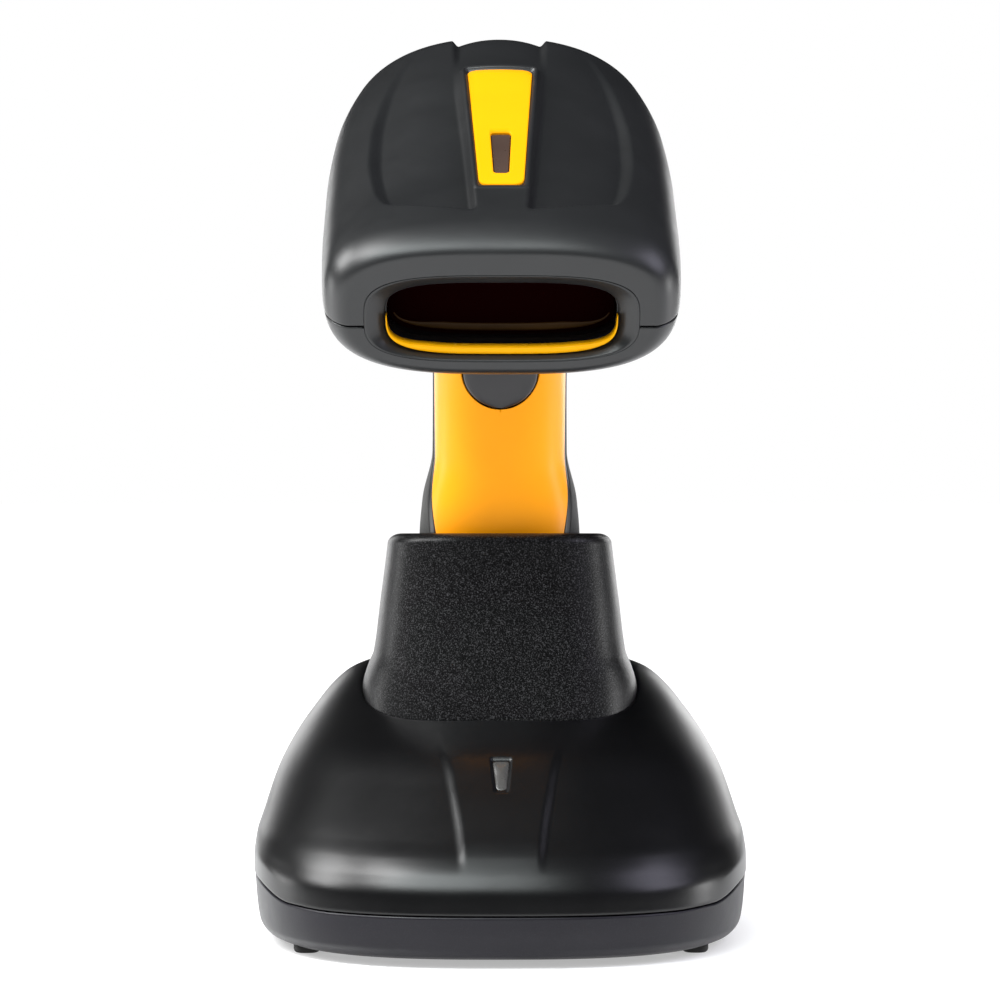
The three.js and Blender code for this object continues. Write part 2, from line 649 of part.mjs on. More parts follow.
function makeTrigger() {
  const side = [
    [-22.9, 97.2],
    [-21.2, 93],
    [-19.6, 88.5],
    [-18.4, 84],
    [-17.7, 80.5],
    [-17, 78.4],
    [-14.4, 78.7],
    [-14.6, 82],
    [-10.4, 84.4],
    [-9, 87],
    [-9, 90.2],
    [-9.2, 95.6],
    [-11, 97.4],
    [-14, 98],
  ];
  const tongue = sidePrism(side, [-7.75, 7.75], HANDLE);
  const outline = frontPrism(tongueOutline(0), [-40, 20], HANDLE);
  const lever = cut(
    tongue.intersect(outline),
    crossRod(1.6, [-10, 10], PIVOT, HANDLE, 14),
    box([-2.4, 2.4], [-15.7, -8], [90.2, 99], HANDLE),
    box([-9, -6], [-15.4, 0], [82, 100], HANDLE),
    box([6, 9], [-15.4, 0], [82, 100], HANDLE),
  );
  part("trigger_lever", cut(lever, headClear), "charcoal");
}

function makeHandle() {
  const wall = cut(handleOuter, handleInner, headClear);
  const slot = frontPrism(tongueOutline(0.55), [-60, -9], HANDLE);
  part("handle_front_shell", cut(wall.intersect(frontRegion(-0.15)), slot), "yellow");
  let back = wall.intersect(backRegion(0.15));
  for (const side of [-1, 1]) {
    back = cut(back, gripRegion(side, GAP).intersect(padRecess));
    back = back.add(pivotEar(side));
  }
  back = cut(back, crossRod(1.4, [-8.6, 8.6], PIVOT, HANDLE, 14));
  const spots = [[0, 30], [0, 76]];
  for (const [x, z] of spots) back = cut(back, longRod(3, [x, z], [14.9, 30], HANDLE, 14));
  for (const [x, z] of spots) back = cut(back, longRod(1.6, [x, z], [5, 30], HANDLE, 12));
  part("handle_back_shell", back, "charcoal");
  for (const side of [-1, 1]) {
    const lean = loft(handleRows.map(([at, half, low, high, power]) => {
      return [at === 3.3 ? 2 : at === HANDLE_TOP ? at + 2 : at, half - 1.1, low + 0.9, high - 1.1, power];
    }), { frame: HANDLE });
    const pad = gripRegion(side, 0).intersect(cut(handleOuter, lean));
    part(side < 0 ? "grip_left" : "grip_right", pad, "rubber");
  }
  const capRows = [[0, 12.2, -14.2, 14.2, 2.6], [0.8, 13, -15, 15, 2.6], [3, 13.1, -15.1, 15.2, 2.6]];
  const cap = cut(
    loft(capRows, { frame: HANDLE }),
    ...PIN_SPOTS.map((spot) => rod(2.4, spot, [-1, 5], HANDLE, 14)),
  );
  part("end_cap", cap, "black");
  PIN_SPOTS.forEach((spot, i) => {
    part(i ? "contact_pad_right" : "contact_pad_left", rod(2.1, spot, [1.3, 3], HANDLE, 14), "gold");
  });
  part("battery_cell", rod(8.9, [0, 0.4], [6, 71], HANDLE, 24), "battery");
  part("trigger_pin", crossRod(1.1, [-8.3, 8.3], PIVOT, HANDLE, 12), "steel");
  const switchBox = box([-4.5, 4.5], [-5.2, 2.5], [83.5, 91.5], HANDLE);
  const plungerBore = longRod(1.7, [0, 87.4], [-7, -3.6], HANDLE, 12);
  part("switch_body", cut(switchBox, plungerBore), "black");
  part("switch_plunger", longRod(1.4, [0, 87.4], [-8.6, -5.5], HANDLE, 12), "gold");
  const coil = cut(
    crossRod(2.4, [-1.9, 1.9], PIVOT, HANDLE, 14),
    crossRod(1.5, [-3, 3], PIVOT, HANDLE, 14),
  );
  const rearLeg = box([-0.5, 0.5], [-11, -1], [91.8, 92.6], HANDLE);
  const frontLeg = box([-0.5, 0.5], [-15.1, -12.6], [95.5, 96.2], HANDLE);
  part("trigger_spring", joined(coil, rearLeg, frontLeg), "steel");
  part("handle_screw_lower", handleScrew(30), "steel");
  part("handle_screw_upper", handleScrew(76), "steel");
}

// An ear beside the lever that holds one end of the trigger's pin.
function pivotEar(side) {
  const cavity = loft(handleRows.map(([at, half, low, high, power]) => {
    return [at === HANDLE_TOP ? at + 2 : at, half - 3.1, low + 2.9, high - 2.2, power];
  }), { frame: HANDLE });
  const inner = side > 0 ? [6.3, 12] : [-12, -6.3];
  const root = side > 0 ? [6.3, 11.2] : [-11.2, -6.3];
  const ear = box(inner, [-14.2, 1], [91, 97], HANDLE).intersect(cavity);
  return ear.add(box(root, [-4, 1], [91, 97], HANDLE).intersect(handleOuter));
}

function handleScrew(z) {
  const head = longRod(2.6, [0, z], [15.2, 16.4], HANDLE, 12);
  const shank = longRod(1.25, [0, z], [10.4, 15.3], HANDLE, 10);
  return head.add(shank);
}

makeCradle();
makeHead();
makeHandle();
makeTrigger();

export default scanner;
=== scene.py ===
import json
import math

import bmesh
import bpy
import numpy as np
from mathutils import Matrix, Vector


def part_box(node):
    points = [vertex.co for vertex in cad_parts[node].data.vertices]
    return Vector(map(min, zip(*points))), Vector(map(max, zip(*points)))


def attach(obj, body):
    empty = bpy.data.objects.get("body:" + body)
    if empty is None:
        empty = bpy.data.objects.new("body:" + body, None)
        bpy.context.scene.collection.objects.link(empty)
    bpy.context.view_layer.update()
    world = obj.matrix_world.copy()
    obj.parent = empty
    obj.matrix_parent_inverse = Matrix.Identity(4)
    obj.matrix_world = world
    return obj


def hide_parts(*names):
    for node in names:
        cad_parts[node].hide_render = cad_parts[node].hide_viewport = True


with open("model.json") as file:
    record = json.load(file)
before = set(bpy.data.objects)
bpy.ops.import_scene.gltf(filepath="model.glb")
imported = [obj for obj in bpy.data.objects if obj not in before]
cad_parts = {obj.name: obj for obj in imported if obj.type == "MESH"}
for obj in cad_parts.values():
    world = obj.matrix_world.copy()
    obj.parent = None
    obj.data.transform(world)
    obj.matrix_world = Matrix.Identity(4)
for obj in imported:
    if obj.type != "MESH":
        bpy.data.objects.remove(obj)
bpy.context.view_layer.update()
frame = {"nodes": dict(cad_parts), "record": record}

# Shapes are worked out in millimetres, from tables close to those of the CAD, and built in metres.
MM = 0.001
HEAD_PITCH = 24.0
HANDLE_LEAN = 10.0
NOSE = (0.0, -53.0, 122.0)
HANDLE_END = (0.0, 21.0, 28.0)
HANDLE_BOTTOM = 3.4
HEAD_SPLIT = -3.7
# Half the gap between two shells: along the head's parting line, and along the handle's.
HEAD_GAP = 0.42
HANDLE_GAP = 0.25
# Length over which the head's front is rounded.
ROLL_LENGTH = 7.0
# Radius of a shell's turned-in edge, and the steps it is drawn in.
EDGE_RADIUS = 0.3
EDGE_STEPS = 4
# Points closer than this become one.
WELD_DISTANCE = 0.004

# Distance from the nose, half width, bottom, top, squareness.
HEAD_TABLE = [
    (0, 27.6, -12, 10.5, 3.1),
    (0.7, 29.6, -13.4, 12, 3.1),
    (2.5, 31.6, -14.6, 13.4, 3),
    (6, 33, -15.4, 14.7, 2.9),
    (12, 33.6, -15.8, 15.9, 2.75),
    (30, 34, -15.5, 18.2, 2.42),
    (50, 34, -15.1, 20.4, 2.36),
    (70, 33.2, -14.6, 22, 2.38),
    (85, 30.8, -13.7, 22.2, 2.42),
    (95, 26.6, -11.6, 19.6, 2.3),
    (102, 20.4, -9, 14.8, 2.1),
    (105.5, 13, -6, 9.5, 2),
    (107, 6, -3, 4.5, 2),
]
# Distance up the handle, half width, front, back, squareness.
HANDLE_TABLE = [
    (0, 13, -15, 15, 2.6),
    (25, 14.5, -16, 17, 2.5),
    (50, 15.95, -17, 18.5, 2.4),
    (58, 15.35, -16.3, 17.8, 2.4),
    (68, 13.3, -15.8, 17, 2.4),
    (80, 13.2, -16.4, 16.8, 2.5),
    (88, 13.2, -18.2, 17.6, 2.6),
    (95, 13.3, -21.2, 19.6, 2.7),
    (101, 13.4, -25, 21.8, 2.8),
    (116, 13.6, -35, 28, 2.8),
]
# Height, half width, front, back, squareness.
COVER_TABLE = [
    (10.5, 48.3, -57.5, 57.5, 2.7),
    (14, 48.3, -56.8, 57.4, 2.7),
    (17, 48.1, -55.2, 57.3, 2.65),
    (20, 47.75, -52.6, 57.15, 2.6),
    (23, 47.0, -48.9, 56.85, 2.55),
    (31.5, 44.3, -38.4, 55, 2.35),
    (37, 41.6, -31, 53.5, 2.3),
    (42.8, 37.7, -18, 51, 2.3),
    (49.7, 31.3, 2, 46, 2.4),
    (52.2, 25.4, 12, 42, 2.4),
    (53.4, 14, 20, 36, 2.2),
]
TRAY_TABLE = [
    (1.5, 44, -53.4, 53.4, 2.7),
    (2.2, 45.9, -55.2, 55.2, 2.6),
    (4, 47.2, -56.5, 56.5, 2.7),
    (7, 47.8, -57.2, 57.2, 2.7),
    (10.2, 48.1, -57.4, 57.4, 2.7),
]
COLLAR_TABLE = [
    (38, 27.9, -17.7, 45.5, 3),
    (43, 27.9, -17.1, 45, 3),
    (47.5, 27.6, -16.5, 44, 3),
    (51.7, 26.5, -15.9, 42.8, 3.1),
    (55, 25.2, -15.4, 41.6, 3.2),
    (66, 23.8, -13.9, 39.2, 3.2),
    (76.4, 22.5, -12.5, 36.9, 3.2),
    (79, 22.2, -12.3, 36.6, 3.2),
]
# Up the handle: where the yellow front ends, measured towards the back.
SPLIT_LINE = [
    (0, -11.4),
    (25, -11.6),
    (50, -12.2),
    (58, -9.5),
    (67, -5.5),
    (80, -4.6),
    (95, -5),
    (119, -6),
]
# Along the head: half width of the spine's flat top, and width of its flanks.
SPINE_TABLE = [
    (8, 4.4, 1.5),
    (15, 4.7, 1.6),
    (33, 5.5, 1.9),
    (60, 7.1, 2.1),
    (75, 7.9, 1.6),
    (92, 8.4, 1.2),
]
# Along the head: outer half width of the recessed panels, and their depth.
PANEL_TABLE = [
    (9, 18, 2.1),
    (16, 22, 2.1),
    (24, 24.2, 2.1),
    (40, 25.6, 2.0),
    (50, 25.4, 1.8),
    (60, 24.2, 1.4),
    (70, 22.3, 0.8),
    (86, 18, 0),
]
# Ends of the label and of its small window: distance along the head, and half width.
LABEL_FRONT = (19.5, 4.2)
LABEL_REAR = (69.4, 6.45)
STATUS_FRONT = (24.0, 1.3)
STATUS_REAR = (40.0, 1.85)


# ---------- curves and surfaces ----------

def smooth_table(rows):
    """Smooth values between the rows of a table, without overshoot."""
    rows = np.array(rows, float)
    x = rows[:, 0]
    slope = np.diff(rows, axis=0) / np.diff(x)[:, None]
    tangent = np.zeros_like(rows)
    tangent[0] = slope[0]
    tangent[-1] = slope[-1]
    for i in range(1, len(rows) - 1):
        product = slope[i - 1] * slope[i]
        total = np.where(product > 0, slope[i - 1] + slope[i], 1)
        tangent[i] = np.where(product > 0, 2 * product / total, 0)

    def at(t):
        t = np.clip(np.asarray(t, float), x[0], x[-1])
        i = np.clip(np.searchsorted(x, t, side="right") - 1, 0, len(x) - 2)
        width = (x[i + 1] - x[i])[..., None]
        u = (t - x[i])[..., None] / width
        value = (1 + 2 * u) * (1 - u) ** 2 * rows[i] + u * u * (3 - 2 * u) * rows[i + 1]
        bend = u * (1 - u) ** 2 * tangent[i] - u * u * (1 - u) * tangent[i + 1]
        return value + width * bend

    return at


head_at = smooth_table(HEAD_TABLE)
handle_at = smooth_table(HANDLE_TABLE)
cover_at = smooth_table(COVER_TABLE)
tray_at = smooth_table(TRAY_TABLE)
collar_at = smooth_table(COLLAR_TABLE)
split_at = smooth_table(SPLIT_LINE)
spine_at = smooth_table(SPINE_TABLE)
panel_at = smooth_table(PANEL_TABLE)


def step(value, low, high):
    u = np.clip((value - low) / (high - low), 0, 1)
    return u * u * (3 - 2 * u)


def oval(theta, half, low, high, power, middle=0.0):
    """A squared-off oval: points across (x) and along the other direction (v)."""
    c = np.cos(theta)
    s = np.sin(theta)
    x = half * np.sign(c) * np.abs(c) ** (2 / power)
    reach = np.where(s > 0, high - middle, middle - low)
    return x, middle + reach * np.sign(s) * np.abs(s) ** (2 / power)


def even_oval(start, end, count, half, low, high, power, middle=0.0):
    """The part of an oval between two angles, as points spaced evenly along it."""
    theta = np.linspace(start, end, 1600)
    x, v = oval(theta, half, low, high, power, middle)
    walk = np.concatenate([[0], np.cumsum(np.hypot(np.diff(x), np.diff(v)))])
    even = np.interp(np.linspace(0, walk[-1], count), walk, theta)
    return oval(even, half, low, high, power, middle)


def turn(points, degrees, origin):
    a = math.radians(degrees)
    out = np.empty_like(points)
    out[..., 0] = points[..., 0] + origin[0]
    out[..., 1] = points[..., 1] * math.cos(a) - points[..., 2] * math.sin(a) + origin[1]
    out[..., 2] = points[..., 1] * math.sin(a) + points[..., 2] * math.cos(a) + origin[2]
    return out


def in_head(points):
    return turn(points, HEAD_PITCH, NOSE)


def in_handle(points):
    return turn(points, HANDLE_LEAN, HANDLE_END)


def unit(v):
    return v / np.maximum(np.linalg.norm(v, axis=-1, keepdims=True), 1e-9)


def normals_of(points, wrap=False):
    """Normals of a grid of points, turned away from its middle."""
    if wrap:
        along = np.roll(points, -1, 1) - np.roll(points, 1, 1)
    else:
        along = np.gradient(points, axis=1)
    across = np.gradient(points, axis=0)
    n = unit(np.cross(along, across))
    away = points - points.reshape(-1, 3).mean(0)
    if (n * away).sum() < 0:
        n = -n
    return n


def rolled(points, side, radius, depth, wrap=False):
    """The grid with one edge (first or last row, left or right column) rolled over and taken inwards."""
    n = normals_of(points, wrap)
    flip = side in ("left", "right")
    grid = points.transpose(1, 0, 2) if flip else points
    n = n.transpose(1, 0, 2) if flip else n
    start = side in ("first", "left")
    edge, inner, normal = (grid[0], grid[1], n[0]) if start else (grid[-1], grid[-2], n[-1])
    out = unit(edge - inner)
    normal = unit(normal - out * (normal * out).sum(-1, keepdims=True))
    extra = []
    for i in range(1, EDGE_STEPS + 1):
        a = math.pi / 2 * i / EDGE_STEPS
        extra.append(edge + out * radius * math.sin(a) - normal * radius * (1 - math.cos(a)))
    extra.append(edge + out * radius - normal * (radius + depth))
    extra = np.array(extra)
    grid = np.concatenate([extra[::-1], grid]) if start else np.concatenate([grid, extra])
    return grid.transpose(1, 0, 2) if flip else grid


def edged(points, sides, depth):
    """The grid with some of its edges rolled over by the usual radius."""
    for side in sides:
        points = rolled(points, side, EDGE_RADIUS, depth)
    return points


def bisect(low, high, below, steps=30):
    """Places between low and high where the test stops being true."""
    for _ in range(steps):
        middle = (low + high) / 2
        test = below(middle)
        low = np.where(test, middle, low)
        high = np.where(test, high, middle)
    return (low + high) / 2


class Skin:
    """Collects grids and fans, then becomes one mesh."""

    def __init__(self):
        self.points = []
        self.faces = []
        self.count = 0

    def grid(self, points, wrap=False, keep=None):
        """Adds rows of points as quads. Keep marks the quads to keep, where not all are."""
        rows, columns = points.shape[:2]
        index = self.count + np.arange(rows * columns).reshape(rows, columns)
        right = np.roll(index, -1, 1) if wrap else index[:, 1:]
        left = index if wrap else index[:, :-1]
        quads = np.stack([left[:-1], right[:-1], right[1:], left[1:]], -1)
        quads = quads.reshape(-1, 4) if keep is None else quads[keep]
        self.points.append(points.reshape(-1, 3))
        self.faces += quads.tolist()
        self.count += rows * columns

    def fan(self, ring):
        """A cap over a ring of points."""
        n = len(ring)
        index = self.count + np.arange(n)
        self.points.append(np.concatenate([ring, ring.mean(0)[None]]))
        self.faces += [[int(index[i]), int(index[(i + 1) % n]), int(self.count + n)] for i in range(n)]
        self.count += n + 1

    def tube(self, rings):
        """Closed rings of points, capped at both ends."""
        self.grid(rings, wrap=True)
        self.fan(rings[0])
        self.fan(rings[-1])

    def build(self, name, body, look, replaces):
        mesh = bpy.data.meshes.new(name)
        mesh.from_pydata((np.concatenate(self.points) * MM).tolist(), [], self.faces)
        work = bmesh.new()
        work.from_mesh(mesh)
        bmesh.ops.remove_doubles(work, verts=work.verts, dist=WELD_DISTANCE * MM)
        bmesh.ops.dissolve_degenerate(work, edges=work.edges, dist=WELD_DISTANCE * MM * 0.5)
        bmesh.ops.recalc_face_normals(work, faces=work.faces)
        middle = sum((v.co for v in work.verts), Vector()) / len(work.verts)
        facing = sum((f.calc_center_median() - middle).dot(f.normal) * f.calc_area() for f in work.faces)
        if facing < 0:
            bmesh.ops.reverse_faces(work, faces=work.faces)
        work.to_mesh(mesh)
        work.free()
        mesh.shade_smooth()
        piece = bpy.data.objects.new(name, mesh)
        bpy.context.scene.collection.objects.link(piece)
        mesh.materials.append(LOOK[look])
        if replaces:
            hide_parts(*replaces)
        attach(piece, body)


# ---------- materials ----------

def ramp(tree, source, stops):
    """A ramp of greys or colours over a source's value."""
    node = tree.nodes.new("ShaderNodeValToRGB")
    for element, (place, value) in zip(node.color_ramp.elements, stops):
        element.position = place
        element.color = (value, value, value, 1) if isinstance(value, (int, float)) else (*value, 1)
    tree.links.new(source, node.inputs["Fac"])
    return node.outputs["Color"]


def noise(tree, place, scale, detail, roughness=0.5):
    node = tree.nodes.new("ShaderNodeTexNoise")
    node.inputs["Scale"].default_value = scale
    node.inputs["Detail"].default_value = detail
    node.inputs["Roughness"].default_value = roughness
    tree.links.new(place, node.inputs["Vector"])
    return node.outputs["Fac"]


def mixed(tree, factor, base, color):
    """The base colour, turned to another where the factor says."""
    node = tree.nodes.new("ShaderNodeMix")
    node.data_type = "RGBA"
    tree.links.new(factor, node.inputs["Factor"])
    tree.links.new(base, node.inputs["A"])
    node.inputs["B"].default_value = (*color, 1)
    return node.outputs["Result"]


def bumped(tree, height, strength, distance, normal):
    node = tree.nodes.new("ShaderNodeBump")
    node.inputs["Strength"].default_value = strength
    node.inputs["Distance"].default_value = distance
    tree.links.new(height, node.inputs["Height"])
    if normal:
        tree.links.new(normal, node.inputs["Normal"])
    return node.outputs["Normal"]


def plastic(name, color, rough, grain=0.0, grain_size=0.35, waviness=0.0, mottle=0.06, specular=0.5,
            rough_spread=0.08, wear=0.12, specks=0.0, speck_size=0.3, sheen=0.0):
    """A moulded surface: fine grain, uneven gloss, a little tone variation and slightly worn edges."""
    material = bpy.data.materials.new(name)
    material.use_nodes = True
    tree = material.node_tree
    nodes = tree.nodes
    link = tree.links.new
    shader = nodes["Principled BSDF"]
    shader.inputs["Specular IOR Level"].default_value = specular
    shader.inputs["Sheen Weight"].default_value = sheen
    shader.inputs["Sheen Roughness"].default_value = 0.4
    place = nodes.new("ShaderNodeTexCoord").outputs["Object"]

    low = tuple(max(0, c * (1 - mottle)) for c in color)
    high = tuple(min(1, c * (1 + mottle)) for c in color)
    tone = ramp(tree, noise(tree, place, 90, 4), [(0.3, low), (0.7, high)])
    edges = nodes.new("ShaderNodeNewGeometry").outputs["Pointiness"]
    amount = nodes.new("ShaderNodeMath")
    amount.operation = "MULTIPLY"
    amount.inputs[1].default_value = wear
    link(ramp(tree, edges, [(0.52, 0.0), (0.62, 1.0)]), amount.inputs[0])
    surface = mixed(tree, amount.outputs[0], tone, [min(1, c * 1.6 + 0.03) for c in color])
    if specks > 0:
        peaks = ramp(tree, noise(tree, place, 1000 / speck_size, 1), [(0.5, 0.0), (0.74, specks)])
        surface = mixed(tree, peaks, surface, (0.5, 0.5, 0.52))
    link(surface, shader.inputs["Base Color"])

    gloss = nodes.new("ShaderNodeMapRange")
    gloss.inputs["From Min"].default_value = 0.3
    gloss.inputs["From Max"].default_value = 0.7
    gloss.inputs["To Min"].default_value = max(0.02, rough - rough_spread)
    gloss.inputs["To Max"].default_value = min(1, rough + rough_spread)
    link(noise(tree, place, 35, 5, 0.65), gloss.inputs["Value"])
    link(gloss.outputs["Result"], shader.inputs["Roughness"])

    normal = None
    if grain > 0:
        normal = bumped(tree, noise(tree, place, 1000 / grain_size, 2), grain, 0.0001, normal)
    if waviness > 0:
        normal = bumped(tree, noise(tree, place, 60, 1), waviness, 0.0002, normal)
    if normal:
        link(normal, shader.inputs["Normal"])
    return material


def metal(name, color, rough):
    material = plastic(name, color, rough, grain=0.15, grain_size=0.6, mottle=0.08, wear=0.0)
    material.node_tree.nodes["Principled BSDF"].inputs["Metallic"].default_value = 1
    return material


LOOK = {
    "head_shell": plastic("soft_charcoal", (0.0105, 0.011, 0.0117), 0.39, grain=0.12, grain_size=0.25,
                          specular=0.46, rough_spread=0.05),
    "handle_yellow": plastic("gloss_amber", (0.86, 0.31, 0.001), 0.34, waviness=0.05, mottle=0.02,
                             rough_spread=0.04, wear=0.0, specular=0.12, sheen=0.1),
    "label_yellow": plastic("label_yellow", (0.7, 0.27, 0.001), 0.3, mottle=0.02, rough_spread=0.04,
                            wear=0.0, specular=0.03),
    "accent_yellow": plastic("gloss_yellow", (0.68, 0.31, 0.001), 0.28, mottle=0.02, rough_spread=0.04,
                             wear=0.02, specular=0.08),
    "grip_rubber": plastic("grained_rubber", (0.035, 0.035, 0.034), 0.7, grain=0.9, grain_size=0.7,
                           specular=0.35),
    "cradle_shell": plastic("satin_black", (0.002, 0.002, 0.0023), 0.31, grain=0.12, grain_size=0.22,
                            specular=0.39, rough_spread=0.03, wear=0.03, specks=0.004, speck_size=0.26),
    "collar_black": plastic("eroded_black", (0.002, 0.002, 0.0022), 0.34, grain=0.5, grain_size=0.3,
                            specular=0.17, rough_spread=0.03, wear=0.03, specks=0.075, speck_size=0.26),
    "tray_shell": plastic("tray_black", (0.0055, 0.0049, 0.0085), 0.4, grain=0.2, grain_size=0.3,
                          specular=0.28, specks=0.006),
    # Real piano-black trim, and also the dark colour of the painted shade strips at the rear seam and in the
    # screw crosses.
    "gloss_trim": plastic("piano_black_and_painted_shade", (0.004, 0.004, 0.0045), 0.14, rough_spread=0.04, mottle=0.02,
                          wear=0.05, specular=0.25),
    "scan_glass": plastic("scan_glass", (0.0035, 0.0003, 0.0003), 0.05, rough_spread=0.015,
                          mottle=0.02, wear=0.0, specular=0.0),
    "status_brown": plastic("status_brown", (0.045, 0.029, 0.023), 0.3, mottle=0.12, wear=0.0,
                            specular=0.2),
    # Colour of the painted warm glow along the window pane's lower inner edge.
    "painted_pane_glow": plastic("painted_pane_glow", (0.028, 0.013, 0.0025), 0.5, mottle=0.3, wear=0.0,
                           specular=0.1),
    "light_lens": plastic("smoked_lens", (0.045, 0.044, 0.042), 0.28, mottle=0.1, wear=0.05),
    "foot_rubber": plastic("foot_rubber", (0.012, 0.0115, 0.011), 0.7, grain=0.4, grain_size=0.6),
    "trigger_plastic": plastic("trigger_grey", (0.007, 0.006, 0.0075), 0.42, grain=0.2, grain_size=0.3),
    "plain_steel": metal("plain_steel", (0.42, 0.42, 0.44), 0.4),
    "contact_gold": metal("contact_gold", (0.9, 0.68, 0.3), 0.22),
    "circuit_board": plastic("circuit_board", (0.012, 0.14, 0.06), 0.35, mottle=0.15),
    "battery_wrap": plastic("battery_wrap", (0.03, 0.09, 0.32), 0.3, mottle=0.04),
}


def paint_cad_nodes():
    slots = {entry["node"]: entry["material_slot"] for entry in frame["record"]["subparts"]}
    for name, node in frame["nodes"].items():
        for material_slot in node.material_slots:
            material_slot.material = LOOK[slots[name]]


paint_cad_nodes()

# ---------- head ----------

# Half width, bottom, top, squareness and middle of the nose's opening, and of the flat face round it.
MOUTH_RIM = np.array([25.52, -10.72, 6.57, 3.4, -1.9])
FACE_RIM = np.array([28.2, -11.9, 10.3, 3.15, 0.0])
TOP_COLUMNS = 300
LOWER_COLUMNS = 150
# The front edge of the recessed panels: its distance from the nose in the middle, and its bow.
PANEL_FRONT = 11.0
PANEL_BOW = 0.0115
ROWS_BACK = np.concatenate([
    np.linspace(ROLL_LENGTH, 11, 6)[:-1],
    np.linspace(11, 18.5, 26)[:-1],
    np.linspace(18.5, 64, 70)[:-1],
    np.linspace(64, 76, 36)[:-1],
    np.linspace(76, 88, 34)[:-1],
    np.linspace(88, 103, 28)[:-1],
    np.linspace(103, 107, 12),
])


def head_rows():
    """Rows of the head from inside the mouth, round the nose and back to the rear end."""
    rows = [(t, *MOUTH_RIM) for t in (5.0, 3.0, 1.4)]
    for a in np.linspace(0, math.pi / 2, 5):
        grow = 0.12 * (1 - math.cos(a)) * np.array([1, -1, 1, 0, 0])
        rows.append((0.12 * (1 - math.sin(a)), *(MOUTH_RIM + grow)))
    inner = np.array(rows[-1][1:])
    for u in np.linspace(0, 1, 7)[1:]:
        rows.append((0.0, *(inner + (FACE_RIM - inner) * u)))
    end = head_at(ROLL_LENGTH)
    slope = (head_at(ROLL_LENGTH + 0.5) - end) / 0.5
    for a in np.linspace(0, math.pi / 2, 15)[1:-1]:
        t = ROLL_LENGTH * (1 - math.cos(a))
        goal = np.append((end + slope * (t - ROLL_LENGTH))[1:], 0.0)
        rows.append((t, *(FACE_RIM + (goal - FACE_RIM) * math.sin(a))))
    for t in ROWS_BACK:
        rows.append((t, *head_at(t)[1:], 0.0))
    last = np.array(rows[-1])
    for shrink, ahead in ((0.66, 0.16), (0.33, 0.24), (0.03, 0.27)):
        rows.append((107 + ahead, last[1] * shrink, last[2] * shrink, last[3] * shrink, 2.0, 0.0))
    return np.array(rows)


def head_grid(upper, count):
    rows = head_rows()
    grid = np.empty((len(rows), count, 3))
    for i, (t, half, low, high, power, middle) in enumerate(rows):
        split = HEAD_SPLIT + (HEAD_GAP if upper else -HEAD_GAP)
        share = min((middle - split) / (middle - low), 0.6)
        edge = math.asin(max(share, 0.02) ** (power / 2))
        limits = (-edge, math.pi + edge) if upper else (-edge, -math.pi + edge)
        x, h = even_oval(*limits, count, half, low, high, power, middle)
        grid[i, :, 0] = x
        grid[i, :, 1] = t
        grid[i, :, 2] = h
    return grid


def label_outline(front, rear, radius, count, grow=0.0):
    """A rounded wedge in x and t, as evenly spaced points."""
    (t0, w0), (t1, w1) = front, rear
    t0, w0, t1, w1 = t0 - grow, w0 + grow, t1 + grow, w1 + grow
    corners = [np.array(corner) for corner in ((w1, t1), (-w1, t1), (-w0, t0), (w0, t0))]
    path = []
    for i, corner in enumerate(corners):
        before = unit(corners[i - 1] - corner)
        after = unit(corners[(i + 1) % 4] - corner)
        for u in np.linspace(0, 1, 9):
            a = corner + before * radius * (1 - u)
            b = corner + after * radius * u
            path.append(a + (b - a) * u)
    path = np.array(path + [path[0]])
    walk = np.concatenate([[0], np.cumsum(np.linalg.norm(np.diff(path, axis=0), axis=1))])
    even = np.linspace(0, walk[-1], count + 1)[:-1]
    return np.stack([np.interp(even, walk, path[:, k]) for k in range(2)], -1)


def label_distance(x, t):
    """Rough distance outside the label's wedge; negative inside."""
    (t0, w0), (t1, w1) = LABEL_FRONT, LABEL_REAR
    width = w0 + (w1 - w0) * (np.clip(t, t0, t1) - t0) / (t1 - t0)
    dx = np.abs(x) - width
    dt = np.maximum(t0 - t, t - t1)
    outside = np.hypot(np.maximum(dx, 0), np.maximum(dt, 0))
    return outside + np.minimum(np.maximum(dx, dt), 0)


def spine_drop(x, t):
    """How far the spine lies below the plain loft towards the rear: more at its sides than its middle."""
    return (0.35 + 0.9 * (x / 8) ** 2) * step(t, 62, 84)


def relief(x, t, h):
    """Height of the upper shell over its plain loft, in millimetres."""
    flat, flank = spine_at(t)[..., 1], spine_at(t)[..., 2]
    outer, depth = panel_at(t)[..., 1], panel_at(t)[..., 2]
    side = np.abs(x)
    off_spine = step(side, flat, flat + flank)
    in_wall = 1 - step(side, outer - 1.9, outer)
    bottom = PANEL_FRONT + PANEL_BOW * x * x
    above = step(t, bottom - 0.8, bottom + 1.0)
    out = -(1 - off_spine) * spine_drop(x, t) - off_spine * in_wall * above * depth
    gap = label_distance(x, t)
    ridge = np.exp(-((gap - 0.8) / 0.42) ** 2) * (0.25 + 0.6 * step(t, 35, 67))
    bed = -0.3 * (1 - step(gap, -0.05, 0.25))
    return (out + ridge + bed) * step(h, 2, 8)


def displaced_head_top():
    grid = head_grid(True, TOP_COLUMNS)
    normal = normals_of(grid)
    lift = relief(grid[..., 0], grid[..., 1], grid[..., 2])
    lift[grid[..., 1] < ROLL_LENGTH] = 0
    return grid + normal * lift[..., None]


def top_height(x, t):
    """Height of the upper shell's surface, without its label ridge and bed, at a place on the spine."""
    row = head_at(t)
    half, high, power = row[..., 1], row[..., 3], row[..., 4]
    plain = high * np.maximum(1 - (np.abs(x) / half) ** power, 0) ** (1 / power)
    return plain - spine_drop(x, t)


def on_spine(outline, lift):
    x, t = outline[:, 0], outline[:, 1]
    return np.stack([x, t, top_height(x, t) + lift], -1)


